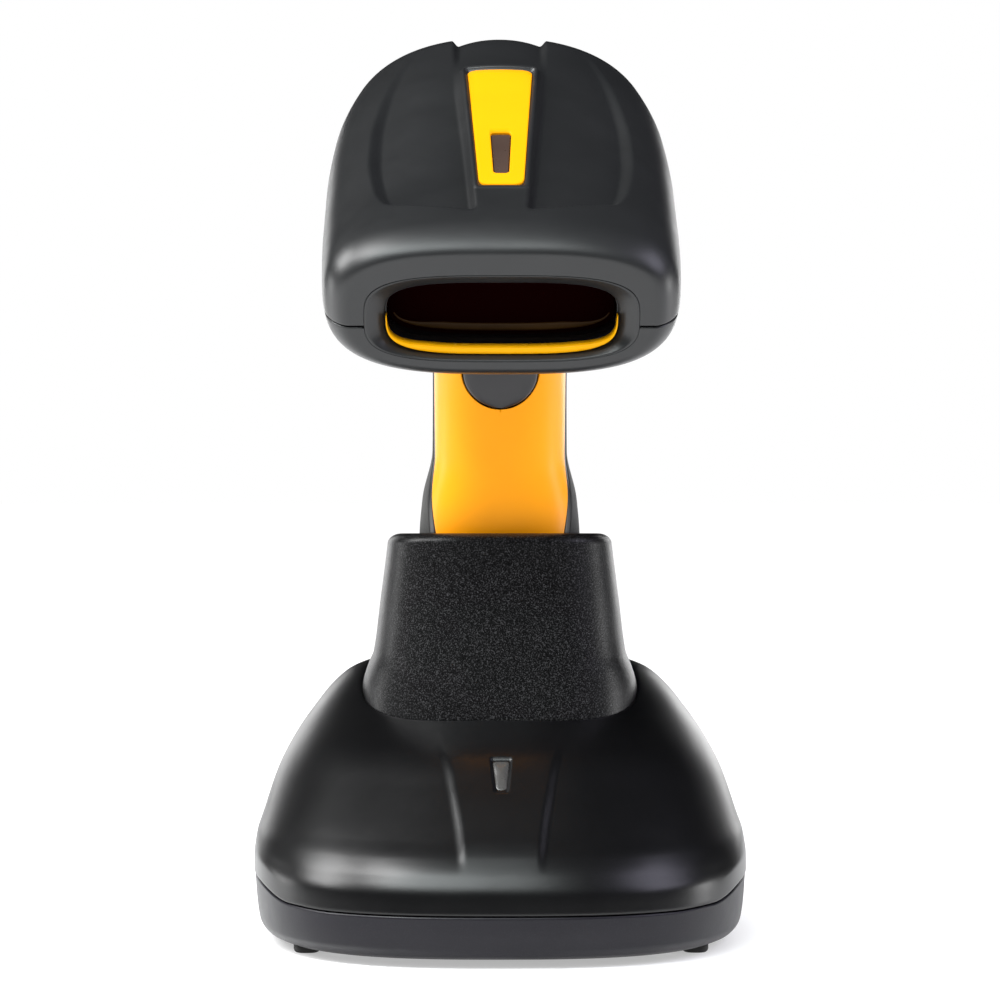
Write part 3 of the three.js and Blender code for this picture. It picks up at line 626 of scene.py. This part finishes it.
def make_head():
    skin = Skin()
    skin.grid(in_head(edged(displaced_head_top(), ("left", "right"), 1.2)))
    skin.build("head_upper", "scanner", "head_shell", ["head_top_shell"])
    skin = Skin()
    skin.grid(in_head(edged(head_grid(False, LOWER_COLUMNS), ("left", "right"), 1.2)))
    skin.build("head_lower", "scanner", "head_shell", ["head_bottom_shell"])


def wedge_plate(name, ends, radius, lift, look, replaced, hole=None):
    """A thin plate that follows the spine, with rounded edges and perhaps a hole."""
    count = 240
    front, rear = ends
    outer = label_outline(front, rear, radius, count)
    centre = np.array([0.0, (front[0] + rear[0]) / 2])
    rings = []
    for sink, pull in ((0.75, 0.0), (0.16, 0.0), (0.06, 0.05), (0.0, 0.16)):
        rings.append(on_spine(outer + unit(centre - outer) * pull, lift - sink))
    flat = outer + unit(centre - outer) * 0.16
    if hole is None:
        goal = np.repeat(centre[None], count, 0)
        fractions = np.linspace(0, 1, 12)[1:]
    else:
        goal = label_outline(*hole, 0.9, count, 0.2)
        fractions = np.linspace(0, 1, 14)[1:]
    for u in fractions:
        rings.append(on_spine(flat + (goal - flat) * u, lift))
    if hole is not None:
        for sink in (0.1, 0.7):
            rings.append(on_spine(goal + unit(centre - goal) * 0.05, lift - sink))
    skin = Skin()
    skin.grid(in_head(np.array(rings)), wrap=True)
    skin.build(name, "scanner", look, [replaced])


def head_ring_piece(name, rows, look, replaced, centre_cap=False):
    """A full ring about the head's axis, from rows of distance, half width, bottom, top and squareness."""
    count = 220
    grid = []
    for t, half, low, high, power in rows:
        x, h = even_oval(0, 2 * math.pi, count + 1, half, low, high, power, (low + high) / 2)
        grid.append(np.stack([x[:-1], np.full(count, float(t)), h[:-1]], -1))
    grid = np.array(grid)
    skin = Skin()
    skin.grid(in_head(grid), wrap=True)
    if centre_cap:
        skin.fan(in_head(grid[-1]))
    skin.build(name, "scanner", look, [replaced])


def make_nose():
    bezel = [
        (3.4, 25.5, -10.7, 6.55, 3.4),
        (0.12, 25.5, -10.7, 6.55, 3.4),
        (0.03, 25.42, -10.64, 6.48, 3.4),
        (0.06, 25.1, -10.5, 6.35, 3.4),
        (0.25, 24.7, -10.4, 6.1, 3.4),
        (1.3, 23.2, -10.0, 5.15, 3.5),
        (2.3, 21.95, -9.85, 4.3, 3.6),
        (2.6, 21.7, -9.8, 4.1, 3.6),
        (3.1, 21.65, -9.8, 4.05, 3.6),
        (4.5, 21.65, -9.8, 4.05, 3.6),
    ]
    head_ring_piece("bezel_ring", bezel, "head_shell", "nose_bezel")
    surround = [
        (11.5, 23.6, -10.2, 6.4, 3.4),
        (3.6, 23.6, -10.2, 6.4, 3.4),
        (3.4, 21.6, -9.2, 4.1, 3.5),
        (3.45, 21.4, -8.75, 4.0, 3.5),
        (3.8, 21.3, -8.6, 3.95, 3.5),
        (6.0, 21.2, -8.55, 3.95, 3.5),
        (8.6, 21.1, -8.5, 3.95, 3.5),
        (11.5, 21.1, -8.5, 3.95, 3.5),
    ]
    head_ring_piece("window_surround", surround, "gloss_trim", "window_frame")
    pane = [
        (9.4, 21.15, -8.55, 4.0, 3.5),
        (8.25, 21.15, -8.55, 4.0, 3.5),
        (8.2, 21.0, -8.4, 3.85, 3.5),
        (8.2, 18.0, -7.0, 2.6, 3.2),
        (8.2, 9.0, -4.5, 0.0, 3.0),
    ]
    head_ring_piece("window_pane", pane, "scan_glass", "scan_window", centre_cap=True)


def mouth_strip(name, outline, loop, thick, look, replaced):
    """A strip along the lower half of the nose's opening. Its section is the loop: distance, thickness."""
    half, low, high, power, middle, start_height = outline
    count = 200
    start = math.asin((start_height / (middle - low)) ** (power / 2))
    x, h = even_oval(-start, -math.pi + start, count, half, low, high, power, middle)
    line = np.stack([x, h], -1)
    tangent = unit(np.gradient(line, axis=0))
    inward = np.stack([-tangent[:, 1], tangent[:, 0]], -1)
    if (inward * (np.array([0, middle]) - line)).sum() < 0:
        inward = -inward
    run = np.linspace(0, 1, count)
    width = thick[0] + thick[1] * step(np.minimum(run, 1 - run), 0.0, 0.26)
    grid = np.empty((count, len(loop) + 1, 3))
    for k, (t, share) in enumerate(loop + [loop[0]]):
        spot = line + inward * (width * share)[:, None]
        grid[:, k, 0] = spot[:, 0]
        grid[:, k, 1] = t
        grid[:, k, 2] = spot[:, 1]
    skin = Skin()
    skin.grid(in_head(grid))
    skin.fan(in_head(grid[0, :-1]))
    skin.fan(in_head(grid[-1, :-1]))
    skin.build(name, "scanner", look, replaced)


def make_lip():
    """The yellow lip round the lower half of the opening, and a brown strip of painted glow along the pane's
    lower inner edge behind it.
    """
    lip = [(3.3, 0.0), (1.5, 0.0), (1.25, 0.12), (1.15, 0.4), (1.2, 0.75), (1.4, 0.95), (3.3, 1.0)]
    mouth_strip("yellow_lip", (21.55, -9.75, 4.1, 3.6, -1.9, 0.2), lip, (0.25, 1.1),
                "accent_yellow", ["nose_lip"])
    # A brown strip of painted light: the warm glow along the pane's lower inner edge.
    edge = [(8.18, 0.0), (8.12, 0.2), (8.1, 0.5), (8.12, 0.8), (8.18, 1.0), (8.3, 0.5)]
    mouth_strip("painted_pane_glow_strip", (20.6, -7.9, 4.0, 3.2, -1.9, 2.4), edge, (0.3, 1.3),
                "painted_pane_glow", ())


make_head()
make_nose()
make_lip()
wedge_plate("label_panel", (LABEL_FRONT, LABEL_REAR), 2.3, 0.12, "label_yellow", "label_plate",
            hole=(STATUS_FRONT, STATUS_REAR))
wedge_plate("label_window_lens", (STATUS_FRONT, STATUS_REAR), 0.8, -0.1, "status_brown",
            "label_light_window")

# ---------- screws ----------

# Across and along the head.
HEAD_SCREWS = {"head_screw_1": (-18.0, 84.0), "head_screw_2": (18.0, 84.0)}
BASE_SCREWS = ("base_screw_1", "base_screw_2", "base_screw_3", "base_screw_4")
BASE_BOTTOM = 1.5
# Radius and height of the ring round a screw, and of the screw's head.
WELL_PROFILE = [(3.6, -0.8), (3.6, -0.1), (3.45, 0.1), (3.2, 0.16), (2.9, 0.12), (2.8, -0.05), (2.8, -0.8)]
SCREW_PROFILE = [(2.65, -0.8), (2.65, -0.05), (2.55, 0.02), (2.3, 0.05)]
CROSS_LENGTH = 1.5
CROSS_WIDTH = 0.28
REAR_SEAM_HALF = 11.6


def lower_surface(x, t):
    """A place on the underside of the head, at x and t."""
    row = head_at(t)
    shrink = (1 - (abs(x) / row[1]) ** row[4]) ** (1 / row[4])
    return np.array([x, t, row[2] * shrink])


def across(out):
    """Two directions square to the outward one."""
    side = unit(np.cross(out, np.array([0.0, 1.0, 0.0])))
    return side, np.cross(side, out)


def turned_rings(profile, spot, out):
    """Rings of points round an axis through spot: each profile entry is a radius and a height along out."""
    side, up = across(out)
    a = np.linspace(0, 2 * math.pi, 49)[:-1, None]
    return np.array([spot + out * height + radius * (np.cos(a) * side + np.sin(a) * up)
                     for radius, height in profile])


def make_screw(name, body, shell, spot, out, place):
    """A low ring with a cross-head screw sunk in it. Spot and out are a place and its outward direction."""
    skin = Skin()
    skin.grid(place(turned_rings(WELL_PROFILE, spot, out)), wrap=True)
    skin.build(name + "_well", body, shell, ())
    rings = place(turned_rings(SCREW_PROFILE, spot, out))
    skin = Skin()
    skin.grid(rings, wrap=True)
    skin.fan(rings[-1])
    skin.build(name + "_head", body, "plain_steel", [name])
    # The cross recess is drawn as a solid dark cross of painted shade in the steel head.
    side, up = across(out)
    skin = Skin()
    for wide, deep in ((CROSS_LENGTH, CROSS_WIDTH), (CROSS_WIDTH, CROSS_LENGTH)):
        corners = [(wide, deep), (-wide, deep), (-wide, -deep), (wide, -deep)]
        rows = [[spot + side * x + up * y + out * h for x, y in corners] for h in (-0.3, 0.07)]
        rows = place(np.array(rows))
        skin.grid(rows, wrap=True)
        skin.fan(rows[1])
    skin.build(name + "_cross_painted_shade", body, "gloss_trim", ())


def make_head_screws():
    for name, (x, t) in HEAD_SCREWS.items():
        sideways = lower_surface(x + 1, t) - lower_surface(x - 1, t)
        along = lower_surface(x, t + 1) - lower_surface(x, t - 1)
        out = unit(np.cross(along, sideways))
        out = out if out[2] < 0 else -out
        make_screw(name, "scanner", "head_shell", lower_surface(x, t), out, in_head)


def box_middle(name):
    """Middle of a CAD node's box across and along the cradle."""
    low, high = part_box(name)
    return (low[0] + high[0]) / 2 / MM, (low[1] + high[1]) / 2 / MM


def make_base_screws():
    for name in BASE_SCREWS:
        spot = np.array([*box_middle(name), BASE_BOTTOM])
        make_screw(name, "cradle", "tray_shell", spot, np.array([0.0, 0.0, -1.0]), np.array)


def make_painted_seam_shade():
    """A dark strip of painted shade where the parting groove runs round the back of the head."""
    count = 61
    x = np.linspace(-REAR_SEAM_HALF, REAR_SEAM_HALF, count)

    def inside(t):
        row = head_at(t)
        value = (np.abs(x) / row[:, 1]) ** row[:, 4] + np.abs(HEAD_SPLIT / row[:, 2]) ** row[:, 4]
        return value < 1

    t = bisect(np.full(count, 80.0), np.full(count, 107.0), inside)
    # A thin strip, slightly proud of the shell, in dark trim colour: painted shade standing for the groove.
    rows = [np.stack([x, t + lift, np.full(count, HEAD_SPLIT + h)], -1)
            for h, lift in ((-0.32, -0.1), (-0.26, 0.06), (0.26, 0.06), (0.32, -0.1))]
    skin = Skin()
    skin.grid(in_head(np.array(rows)))
    skin.build("painted_seam_shade", "scanner", "gloss_trim", ())


make_head_screws()
make_painted_seam_shade()

# ---------- handle ----------

# The round end of the trigger's slot: its height up the handle, and the slot's and tongue's half widths.
TRIGGER_CENTRE = 86.9
SLOT_HALF = 7.7
TONGUE_HALF = 7.25
# How much the slot's lower wall runs down as it goes in, so that the tongue can swing.
SLOT_FLARE = 0.42
GRIP_HEIGHTS = (25, 95)


def handle_angle(z, back):
    """Angle from the front's middle at which the handle's outline reaches a place towards the back."""
    row = handle_at(z)
    low, high, power = row[..., 2], row[..., 3], row[..., 4]
    ratio = np.where(back < 0, back / low, back / high)
    s = np.clip(ratio, 0, 1) ** (power / 2)
    angle = np.arcsin(np.clip(s, 0, 1))
    return np.where(back < 0, -angle, angle)


def handle_points(z, start, end, count, grow=0.0):
    """Rows of points round the handle between two angles for each height."""
    grid = np.empty((len(z), count, 3))
    for i, height in enumerate(z):
        _, half, low, high, power = handle_at(height)
        x, v = even_oval(start[i], end[i], count, half + grow, low - grow, high + grow, power)
        grid[i] = np.stack([x, v, np.full(count, height)], -1)
    return grid


def make_handle_front():
    bottom = TRIGGER_CENTRE - SLOT_HALF
    skin = Skin()
    z = np.linspace(HANDLE_BOTTOM, bottom, 90)
    edge = handle_angle(z, split_at(z)[:, 1] - HANDLE_GAP)
    skin.grid(in_handle(edged(handle_points(z, edge, -math.pi - edge, 121), ("left", "right"), 1.0)))
    turns = np.linspace(0, math.pi / 2, 28)
    straight = np.linspace(TRIGGER_CENTRE, 114, 40)[1:]
    z = np.concatenate([TRIGGER_CENTRE - SLOT_HALF * np.cos(turns), straight])
    width = np.concatenate([SLOT_HALF * np.sin(turns), np.full(39, SLOT_HALF)])
    row = handle_at(z)
    hole = np.arccos(np.clip((width / row[:, 1]) ** (row[:, 4] / 2), 0, 1))
    edge = handle_angle(z, split_at(z)[:, 1] - HANDLE_GAP)
    for side in (1, -1):
        if side > 0:
            grid = handle_points(z, edge, -hole, 61)
        else:
            grid = handle_points(z, -math.pi - edge, -math.pi + hole, 61)
        grid = edged(grid, ["left"], 1.0)
        columns = [grid]
        for sink, pull in ((0.08, 0.1), (0.3, 0.22), (2.2, 0.25)):
            wall = grid[:, -1:, :].copy()
            wall[..., 1] += sink
            wall[..., 2] -= SLOT_FLARE * sink * (wall[..., 2] < TRIGGER_CENTRE)
            wall[..., 0] -= side * np.minimum(pull, width)[:, None]
            columns.append(wall)
        skin.grid(in_handle(np.concatenate(columns, axis=1)))
    skin.build("handle_front", "scanner", "handle_yellow", ["handle_front_shell"])


def make_handle_back():
    z = np.linspace(HANDLE_BOTTOM, 115, 150)
    edge = handle_angle(z, split_at(z)[:, 1] + HANDLE_GAP)
    grid = handle_points(z, edge, math.pi - edge, 181, grow=-0.05)
    skin = Skin()
    skin.grid(in_handle(edged(grid, ("left", "right"), 1.0)))
    skin.build("handle_back", "scanner", "head_shell", ["handle_back_shell"])


def make_grips():
    z = np.linspace(*GRIP_HEIGHTS, 110)
    front = handle_angle(z, split_at(z)[:, 1] + 2.0)
    rear = handle_angle(z, 10 + 0.5 * step(z, 25, 60) - 2.0 * step(z, 60, 95))
    for name, start, end in (
        ("grip_left", math.pi - front, math.pi - rear),
        ("grip_right", front, rear),
    ):
        grid = handle_points(z, start, end, 60, grow=0.12)
        skin = Skin()
        skin.grid(in_handle(edged(grid, ("left", "right", "first", "last"), 0.8)))
        skin.build(name + "_pad", "scanner", "grip_rubber", [name])


def make_trigger():
    """The tongue of the trigger: round at its tip, slightly crowned across."""
    front_line = smooth_table([
        (78.2, -17.2),
        (80.5, -17.9),
        (84, -18.6),
        (88.5, -19.8),
        (93, -21.4),
        (97.2, -23.1),
    ])
    turns = np.linspace(0.12, math.pi / 2, 22)
    straight = np.linspace(TRIGGER_CENTRE, 97.2, 20)[1:]
    z = np.concatenate([TRIGGER_CENTRE - TONGUE_HALF * np.cos(turns), straight])
    width = np.concatenate([TONGUE_HALF * np.sin(turns), np.full(19, TONGUE_HALF)])
    rows = []
    for height, half in zip(z, width):
        face = front_line(height)[1]
        x, v = even_oval(0, 2 * math.pi, 97, half, -1.6, 1.2, 3.2)
        rows.append(np.stack([x[:-1], face + 1.6 + v[:-1], np.full(96, height)], -1))
    skin = Skin()
    skin.tube(in_handle(np.array(rows)))
    skin.build("trigger_tongue", "trigger", "trigger_plastic", ["trigger_lever"])


make_handle_front()
make_handle_back()
make_grips()
make_trigger()

# ---------- cradle ----------

# Columns of the cradle's grids: more of them across the front, where the creases are.
FRONT_COLUMNS = 170
OTHER_COLUMNS = 240
COLUMNS = FRONT_COLUMNS + OTHER_COLUMNS
CENTRE_Y = 12.0
COVER_BOTTOM = 10.85
# How far the parting line rises at the sides, and dips across the front.
SEAM_RISE = 2.9
SEAM_DIP = 0.45
# The rear inlet's opening.
INLET_HEIGHTS = (14.2, 26.0)
INLET_HALF = 8.4
INLET_CENTRE = np.array([0.0, 0.0, 20.1])
# Ends of the light pipe: place along the cradle, and half width.
PIPE_FRONT = (-38.6, 1.0)
PIPE_REAR = (-32.1, 1.65)
PIPE_MIDDLE = np.array([0.0, -35.2])
# The collar's rim: where it starts to round, its top, its width, and its slope towards the back.
RIM_START = 77.0
RIM_TOP = 79.1
RIM_WIDTH = 2.9
RIM_SLOPE = 0.037


def oval_value(x, y, half, low, high, power):
    """Less than one inside a centred oval, and more outside."""
    return np.abs(x / half) ** power + np.abs((y - (low + high) / 2) / ((high - low) / 2)) ** power


def polar_oval(phi, half, low, high, power):
    """Distance from (0, CENTRE_Y) to a centred oval, in each direction."""
    near = np.zeros(np.broadcast(phi, half).shape)

    def inside(r):
        return oval_value(r * np.cos(phi), CENTRE_Y + r * np.sin(phi), half, low, high, power) < 1

    return bisect(near, np.full_like(near, 120.0), inside, steps=44)


def ray_points(phi, radius, z):
    """Points at a distance from (0, CENTRE_Y) in each direction."""
    height = np.broadcast_to(z, radius.shape)
    return np.stack([radius * np.cos(phi), CENTRE_Y + radius * np.sin(phi), height], -1)


PHI = np.radians(np.concatenate([
    np.linspace(-114, -66, FRONT_COLUMNS + 1)[:-1],
    np.linspace(-66, 246, OTHER_COLUMNS + 1)[:-1],
]))


def loft_radius(table, z, grow=0.0):
    row = table(z)
    return polar_oval(PHI if np.ndim(z) < 2 else PHI[None], row[..., 1] + grow, row[..., 2] - grow,
                      row[..., 3] + grow, row[..., 4])


def seam_height():
    """Height at which the cover meets the collar, in each direction."""
    def outside(z):
        return loft_radius(cover_at, z) > loft_radius(collar_at, z, 0.45)

    return bisect(np.full(COLUMNS, 38.0), np.full(COLUMNS, 53.3), outside)


def spine_lift(points):
    """The faint raised band down the middle of the cover's front, and the light pipe's pit in it."""
    x, y = points[..., 0], points[..., 1]
    half = np.interp(y, [-53, -46.5, -34.5, -26, -15], [6.4, 7.0, 8.9, 10.8, 13.0])
    band = 1 - step(np.abs(x), half, half + 2.0)
    fade = step(-y, 20, 42) * (1 - step(-y, 49, 55))
    pipe_half = np.interp(y, [-38.7, -32.0], [1.05, 1.75])
    pit = 1 - step(np.abs(x), pipe_half, pipe_half + 0.4)
    pit = pit * step(-y, 31.2, 31.8) * (1 - step(-y, 38.8, 39.5))
    return 0.6 * band * fade - 0.5 * pit


def bow_seam(points, weight):
    """Moves the points near the parting line up at the sides and a little down across the front."""
    x, y = np.abs(points[..., 0]), points[..., 1]
    rise = SEAM_RISE * step(x, 40, 48.3) * (1 - step(y, 12, 48))
    dip = SEAM_DIP * (1 - step(x, 32, 42)) * step(-y, 10, 40)
    points = points.copy()
    points[..., 2] += (rise - dip) * weight
    return points


def add_inlet_opening(skin, grid):
    """The cover's grid with a four-sided opening for the rear inlet, and walls that run in from its edge."""
    back = np.argmin(np.abs(PHI - math.pi / 2))
    height = grid[:, back, 2]
    low, high = INLET_HEIGHTS
    rows = np.flatnonzero((height > low) & (height < high) & (grid[:, back, 1] > 52))
    middle = grid[rows[len(rows) // 2]]
    columns = np.flatnonzero((np.abs(middle[:, 0]) < INLET_HALF) & (middle[:, 1] > 0))
    top, bottom, left, right = rows[0], rows[-1], columns[0], columns[-1]
    keep = np.ones((len(grid) - 1, COLUMNS), bool)
    keep[top:bottom, left:right] = False
    skin.grid(grid, wrap=True, keep=keep)
    rim = np.concatenate([
        grid[top, left:right],
        grid[top:bottom, right],
        grid[bottom, right:left:-1],
        grid[bottom:top:-1, left],
    ])
    rings = [rim]
    for sink, pull in ((0.05, 0.05), (0.2, 0.12), (9.0, 0.14)):
        ring = rim - unit((rim - INLET_CENTRE) * np.array([1, 0, 1])) * pull
        ring[:, 1] = rim[:, 1] - sink
        rings.append(ring)
    skin.grid(np.array(rings), wrap=True)


def make_inlet_pins():
    """Six contact strips on the upper wall of the rear inlet."""
    section = np.array([(-0.35, 24.0), (0.35, 24.0), (0.35, 23.5), (-0.35, 23.5)])
    skin = Skin()
    for x in np.linspace(-3.75, 3.75, 6):
        rows = [[(x + across, y, z) for across, z in section] for y in (46.0, 54.5)]
        skin.tube(np.array(rows))
    skin.build("inlet_pins", "cradle", "contact_gold", ())


def make_cover():
    seam = seam_height()
    share = np.concatenate([np.linspace(0, 0.06, 6)[:-1], np.linspace(0.06, 1, 130)])
    z = COVER_BOTTOM + (seam - COVER_BOTTOM)[None] * share[:, None]
    grid = ray_points(PHI[None], loft_radius(cover_at, z), z)
    grid = grid + normals_of(grid, wrap=True) * spine_lift(grid)[..., None]
    grid = rolled(grid, "first", 0.35, 1.5, wrap=True)
    grid = rolled(grid, "last", EDGE_RADIUS, 1.5, wrap=True)
    grid = bow_seam(grid, 1 - step(grid[..., 2], 10.9, 26))
    skin = Skin()
    add_inlet_opening(skin, grid)
    skin.build("cradle_cover", "cradle", "cradle_shell", ["base_cover"])


def cup_radius(z):
    """Distance from the centre line to the socket's hole at a height."""
    middle = HANDLE_END[1] - (z - HANDLE_END[2]) * math.tan(math.radians(HANDLE_LEAN))
    return polar_oval(PHI, 19.0, middle - 19.6, middle + 20.6, 2.9)


def make_collar():
    heights = np.concatenate([np.linspace(39, 58, 50), np.linspace(58, RIM_START, 26)[1:]])
    grid = [ray_points(PHI, loft_radius(collar_at, z), z) for z in heights]
    rim = loft_radius(collar_at, RIM_START)
    hole = cup_radius(RIM_TOP) + 0.1
    inset = np.minimum(RIM_WIDTH, rim - hole - 0.3)
    for a in np.linspace(0, math.pi / 2, 11)[1:]:
        z = RIM_START + (RIM_TOP - RIM_START) * math.sin(a)
        grid.append(ray_points(PHI, rim - inset * (1 - math.cos(a)), z))
    flat = rim - inset
    for u in (0.3, 0.6, 0.85, 1.0):
        grid.append(ray_points(PHI, flat + (hole - flat) * u, RIM_TOP))
    grid.append(ray_points(PHI, hole - 0.12, 79.0))
    grid.append(ray_points(PHI, hole - 0.2, 78.8))
    grid.append(ray_points(PHI, cup_radius(74.0), 74.0))
    grid = np.array(grid)
    grid[..., 2] -= RIM_SLOPE * (grid[..., 1] + 12) * step(grid[..., 2], 56, 76)
    skin = Skin()
    skin.grid(grid, wrap=True)
    skin.build("cradle_collar", "cradle", "collar_black", ["collar"])


def make_tray():
    rows = []
    for height in np.concatenate([np.linspace(10.2, 4, 14), np.linspace(4, BASE_BOTTOM, 14)[1:]]):
        x, y = even_oval(0, 2 * math.pi, COLUMNS + 1, *tray_at(height)[1:])
        rows.append(np.stack([x[:-1], y[:-1], np.full(COLUMNS, height)], -1))
    inner = rows[0] * np.array([0.972, 0.975, 1.0])
    grid = np.array([inner] + rows)
    skin = Skin()
    skin.tube(bow_seam(grid, step(grid[..., 2], 1.5, 10.1)))
    skin.build("cradle_tray", "cradle", "tray_shell", ["base_tray"])


def make_feet():
    for name in ("foot_front_left", "foot_front_right", "foot_rear_left", "foot_rear_right"):
        cx, cy = box_middle(name)
        rows = []
        for height, inset in ((1.8, 0), (0.5, 0), (0.2, 0.12), (0.05, 0.3), (0.0, 0.6)):
            x, y = even_oval(0, 2 * math.pi, 81, 2.6 - inset, -6 + inset, 6 - inset, 3.4)
            rows.append(np.stack([x[:-1] + cx, y[:-1] + cy, np.full(80, height)], -1))
        skin = Skin()
        skin.tube(np.array(rows))
        skin.build(name + "_pad", "cradle", "foot_rubber", [name])


def on_cover(spots, lift):
    """Places on the cover's front, raised by an amount."""
    def inside(z):
        return oval_value(spots[:, 0], spots[:, 1], *cover_at(z).T[1:]) < 1

    z = bisect(np.full(len(spots), 12.0), np.full(len(spots), 45.0), inside)
    return np.column_stack([spots, z + lift])


def make_light_pipe():
    """The status light: a tapered, slightly domed lens that follows the cover."""
    outline = label_outline(PIPE_FRONT, PIPE_REAR, 0.8, 120)
    inwards = unit(PIPE_MIDDLE - outline)
    rings = []
    for sink, pull in ((1.6, 0.0), (0.45, 0.0), (0.25, 0.1), (0.15, 0.3)):
        rings.append(on_cover(outline + inwards * pull, 0.3 - sink))
    flat = outline + inwards * 0.3
    for u in np.linspace(0, 1, 8)[1:]:
        dome = 0.4 * (1 - (1 - u) ** 2)
        rings.append(on_cover(flat + (PIPE_MIDDLE - flat) * u, 0.18 + dome))
    skin = Skin()
    skin.grid(np.array(rings), wrap=True)
    skin.build("status_lens", "cradle", "light_lens", ["status_light_pipe"])


make_cover()
make_collar()
make_tray()
make_feet()
make_light_pipe()
make_inlet_pins()
make_base_screws()

# ---------- studio ----------

CAMERA_AT = (-0.0056, -0.804, 0.107)
CAMERA_DIP = 1.55
CAMERA_TURN = -0.4
LENS = 146.4
FLOOR_HALF = 3.0
LAMP_DISTANCE = 0.8
WHITE = (1, 1, 1)
# Name, azimuth, elevation, width and height in metres, power, colour.
# Azimuth is counted from the front, positive to the right.
LAMPS = [
    ("key_side", -91, 36, 0.28, 0.34, 5.2, WHITE),
    ("key_middle", -60, 54, 0.28, 0.26, 4.0, WHITE),
    ("key_front", -22, 52, 0.5, 0.24, 4.3, (0.93, 1.0, 1.0)),
    ("fill_right", 74, 36, 0.42, 0.44, 2.4, (0.84, 0.82, 1.0)),
    ("strip_left", -116, 2, 0.18, 0.18, 0.6, WHITE),
    ("strip_right", 102, 1, 0.18, 0.18, 1.0, WHITE),
    ("side_left", -158, 6, 0.24, 0.26, 0.5, WHITE),
    ("side_right", 158, 6, 0.24, 0.26, 0.6, WHITE),
]


def make_floor():
    mesh = bpy.data.meshes.new("floor")
    corners = [(x * FLOOR_HALF, y * FLOOR_HALF, 0) for x, y in ((-1, -1), (1, -1), (1, 1), (-1, 1))]
    mesh.from_pydata(corners, [], [(0, 1, 2, 3)])
    floor = bpy.data.objects.new("floor", mesh)
    bpy.context.scene.collection.objects.link(floor)
    material = bpy.data.materials.new("pale_floor")
    material.use_nodes = True
    shader = material.node_tree.nodes["Principled BSDF"]
    shader.inputs["Base Color"].default_value = (0.62, 0.62, 0.62, 1)
    shader.inputs["Emission Color"].default_value = (1, 1, 1, 1)
    shader.inputs["Emission Strength"].default_value = 0.42
    shader.inputs["Roughness"].default_value = 0.9
    shader.inputs["Specular IOR Level"].default_value = 0.0
    mesh.materials.append(material)


def area_light(name, azimuth, elevation, width, height, power, color):
    """A softbox that faces the object."""
    data = bpy.data.lights.new(name, "AREA")
    data.energy = power
    data.color = color
    data.shape = "RECTANGLE"
    data.size = width
    data.size_y = height
    a = math.radians(azimuth)
    e = math.radians(elevation)
    away = Vector((math.sin(a) * math.cos(e), -math.cos(a) * math.cos(e), math.sin(e)))
    lamp = bpy.data.objects.new(name, data)
    lamp.location = Vector((0, 0, 0.08)) + away * LAMP_DISTANCE
    lamp.visible_camera = False
    lamp.rotation_euler = (-away).to_track_quat("-Z", "Y").to_euler()
    bpy.context.scene.collection.objects.link(lamp)


def make_studio():
    """A white room that shows as background and fill. Only the lamps and the floor show in reflections."""
    make_floor()
    for lamp in LAMPS:
        area_light(*lamp)
    world = bpy.data.worlds.new("studio")
    world.use_nodes = True
    world.node_tree.nodes["Background"].inputs["Color"].default_value = (1, 1, 1, 1)
    world.node_tree.nodes["Background"].inputs["Strength"].default_value = 1.0
    world.cycles_visibility.glossy = False
    bpy.context.scene.world = world


def make_camera():
    data = bpy.data.cameras.new("camera")
    data.lens = LENS
    data.sensor_width = 36
    data.clip_start = 0.01
    camera = bpy.data.objects.new("camera", data)
    bpy.context.scene.collection.objects.link(camera)
    camera.location = CAMERA_AT
    camera.rotation_euler = (math.radians(90 - CAMERA_DIP), 0, math.radians(CAMERA_TURN))
    bpy.context.scene.camera = camera


make_studio()
make_camera()
bpy.context.scene.view_settings.view_transform = "Standard"
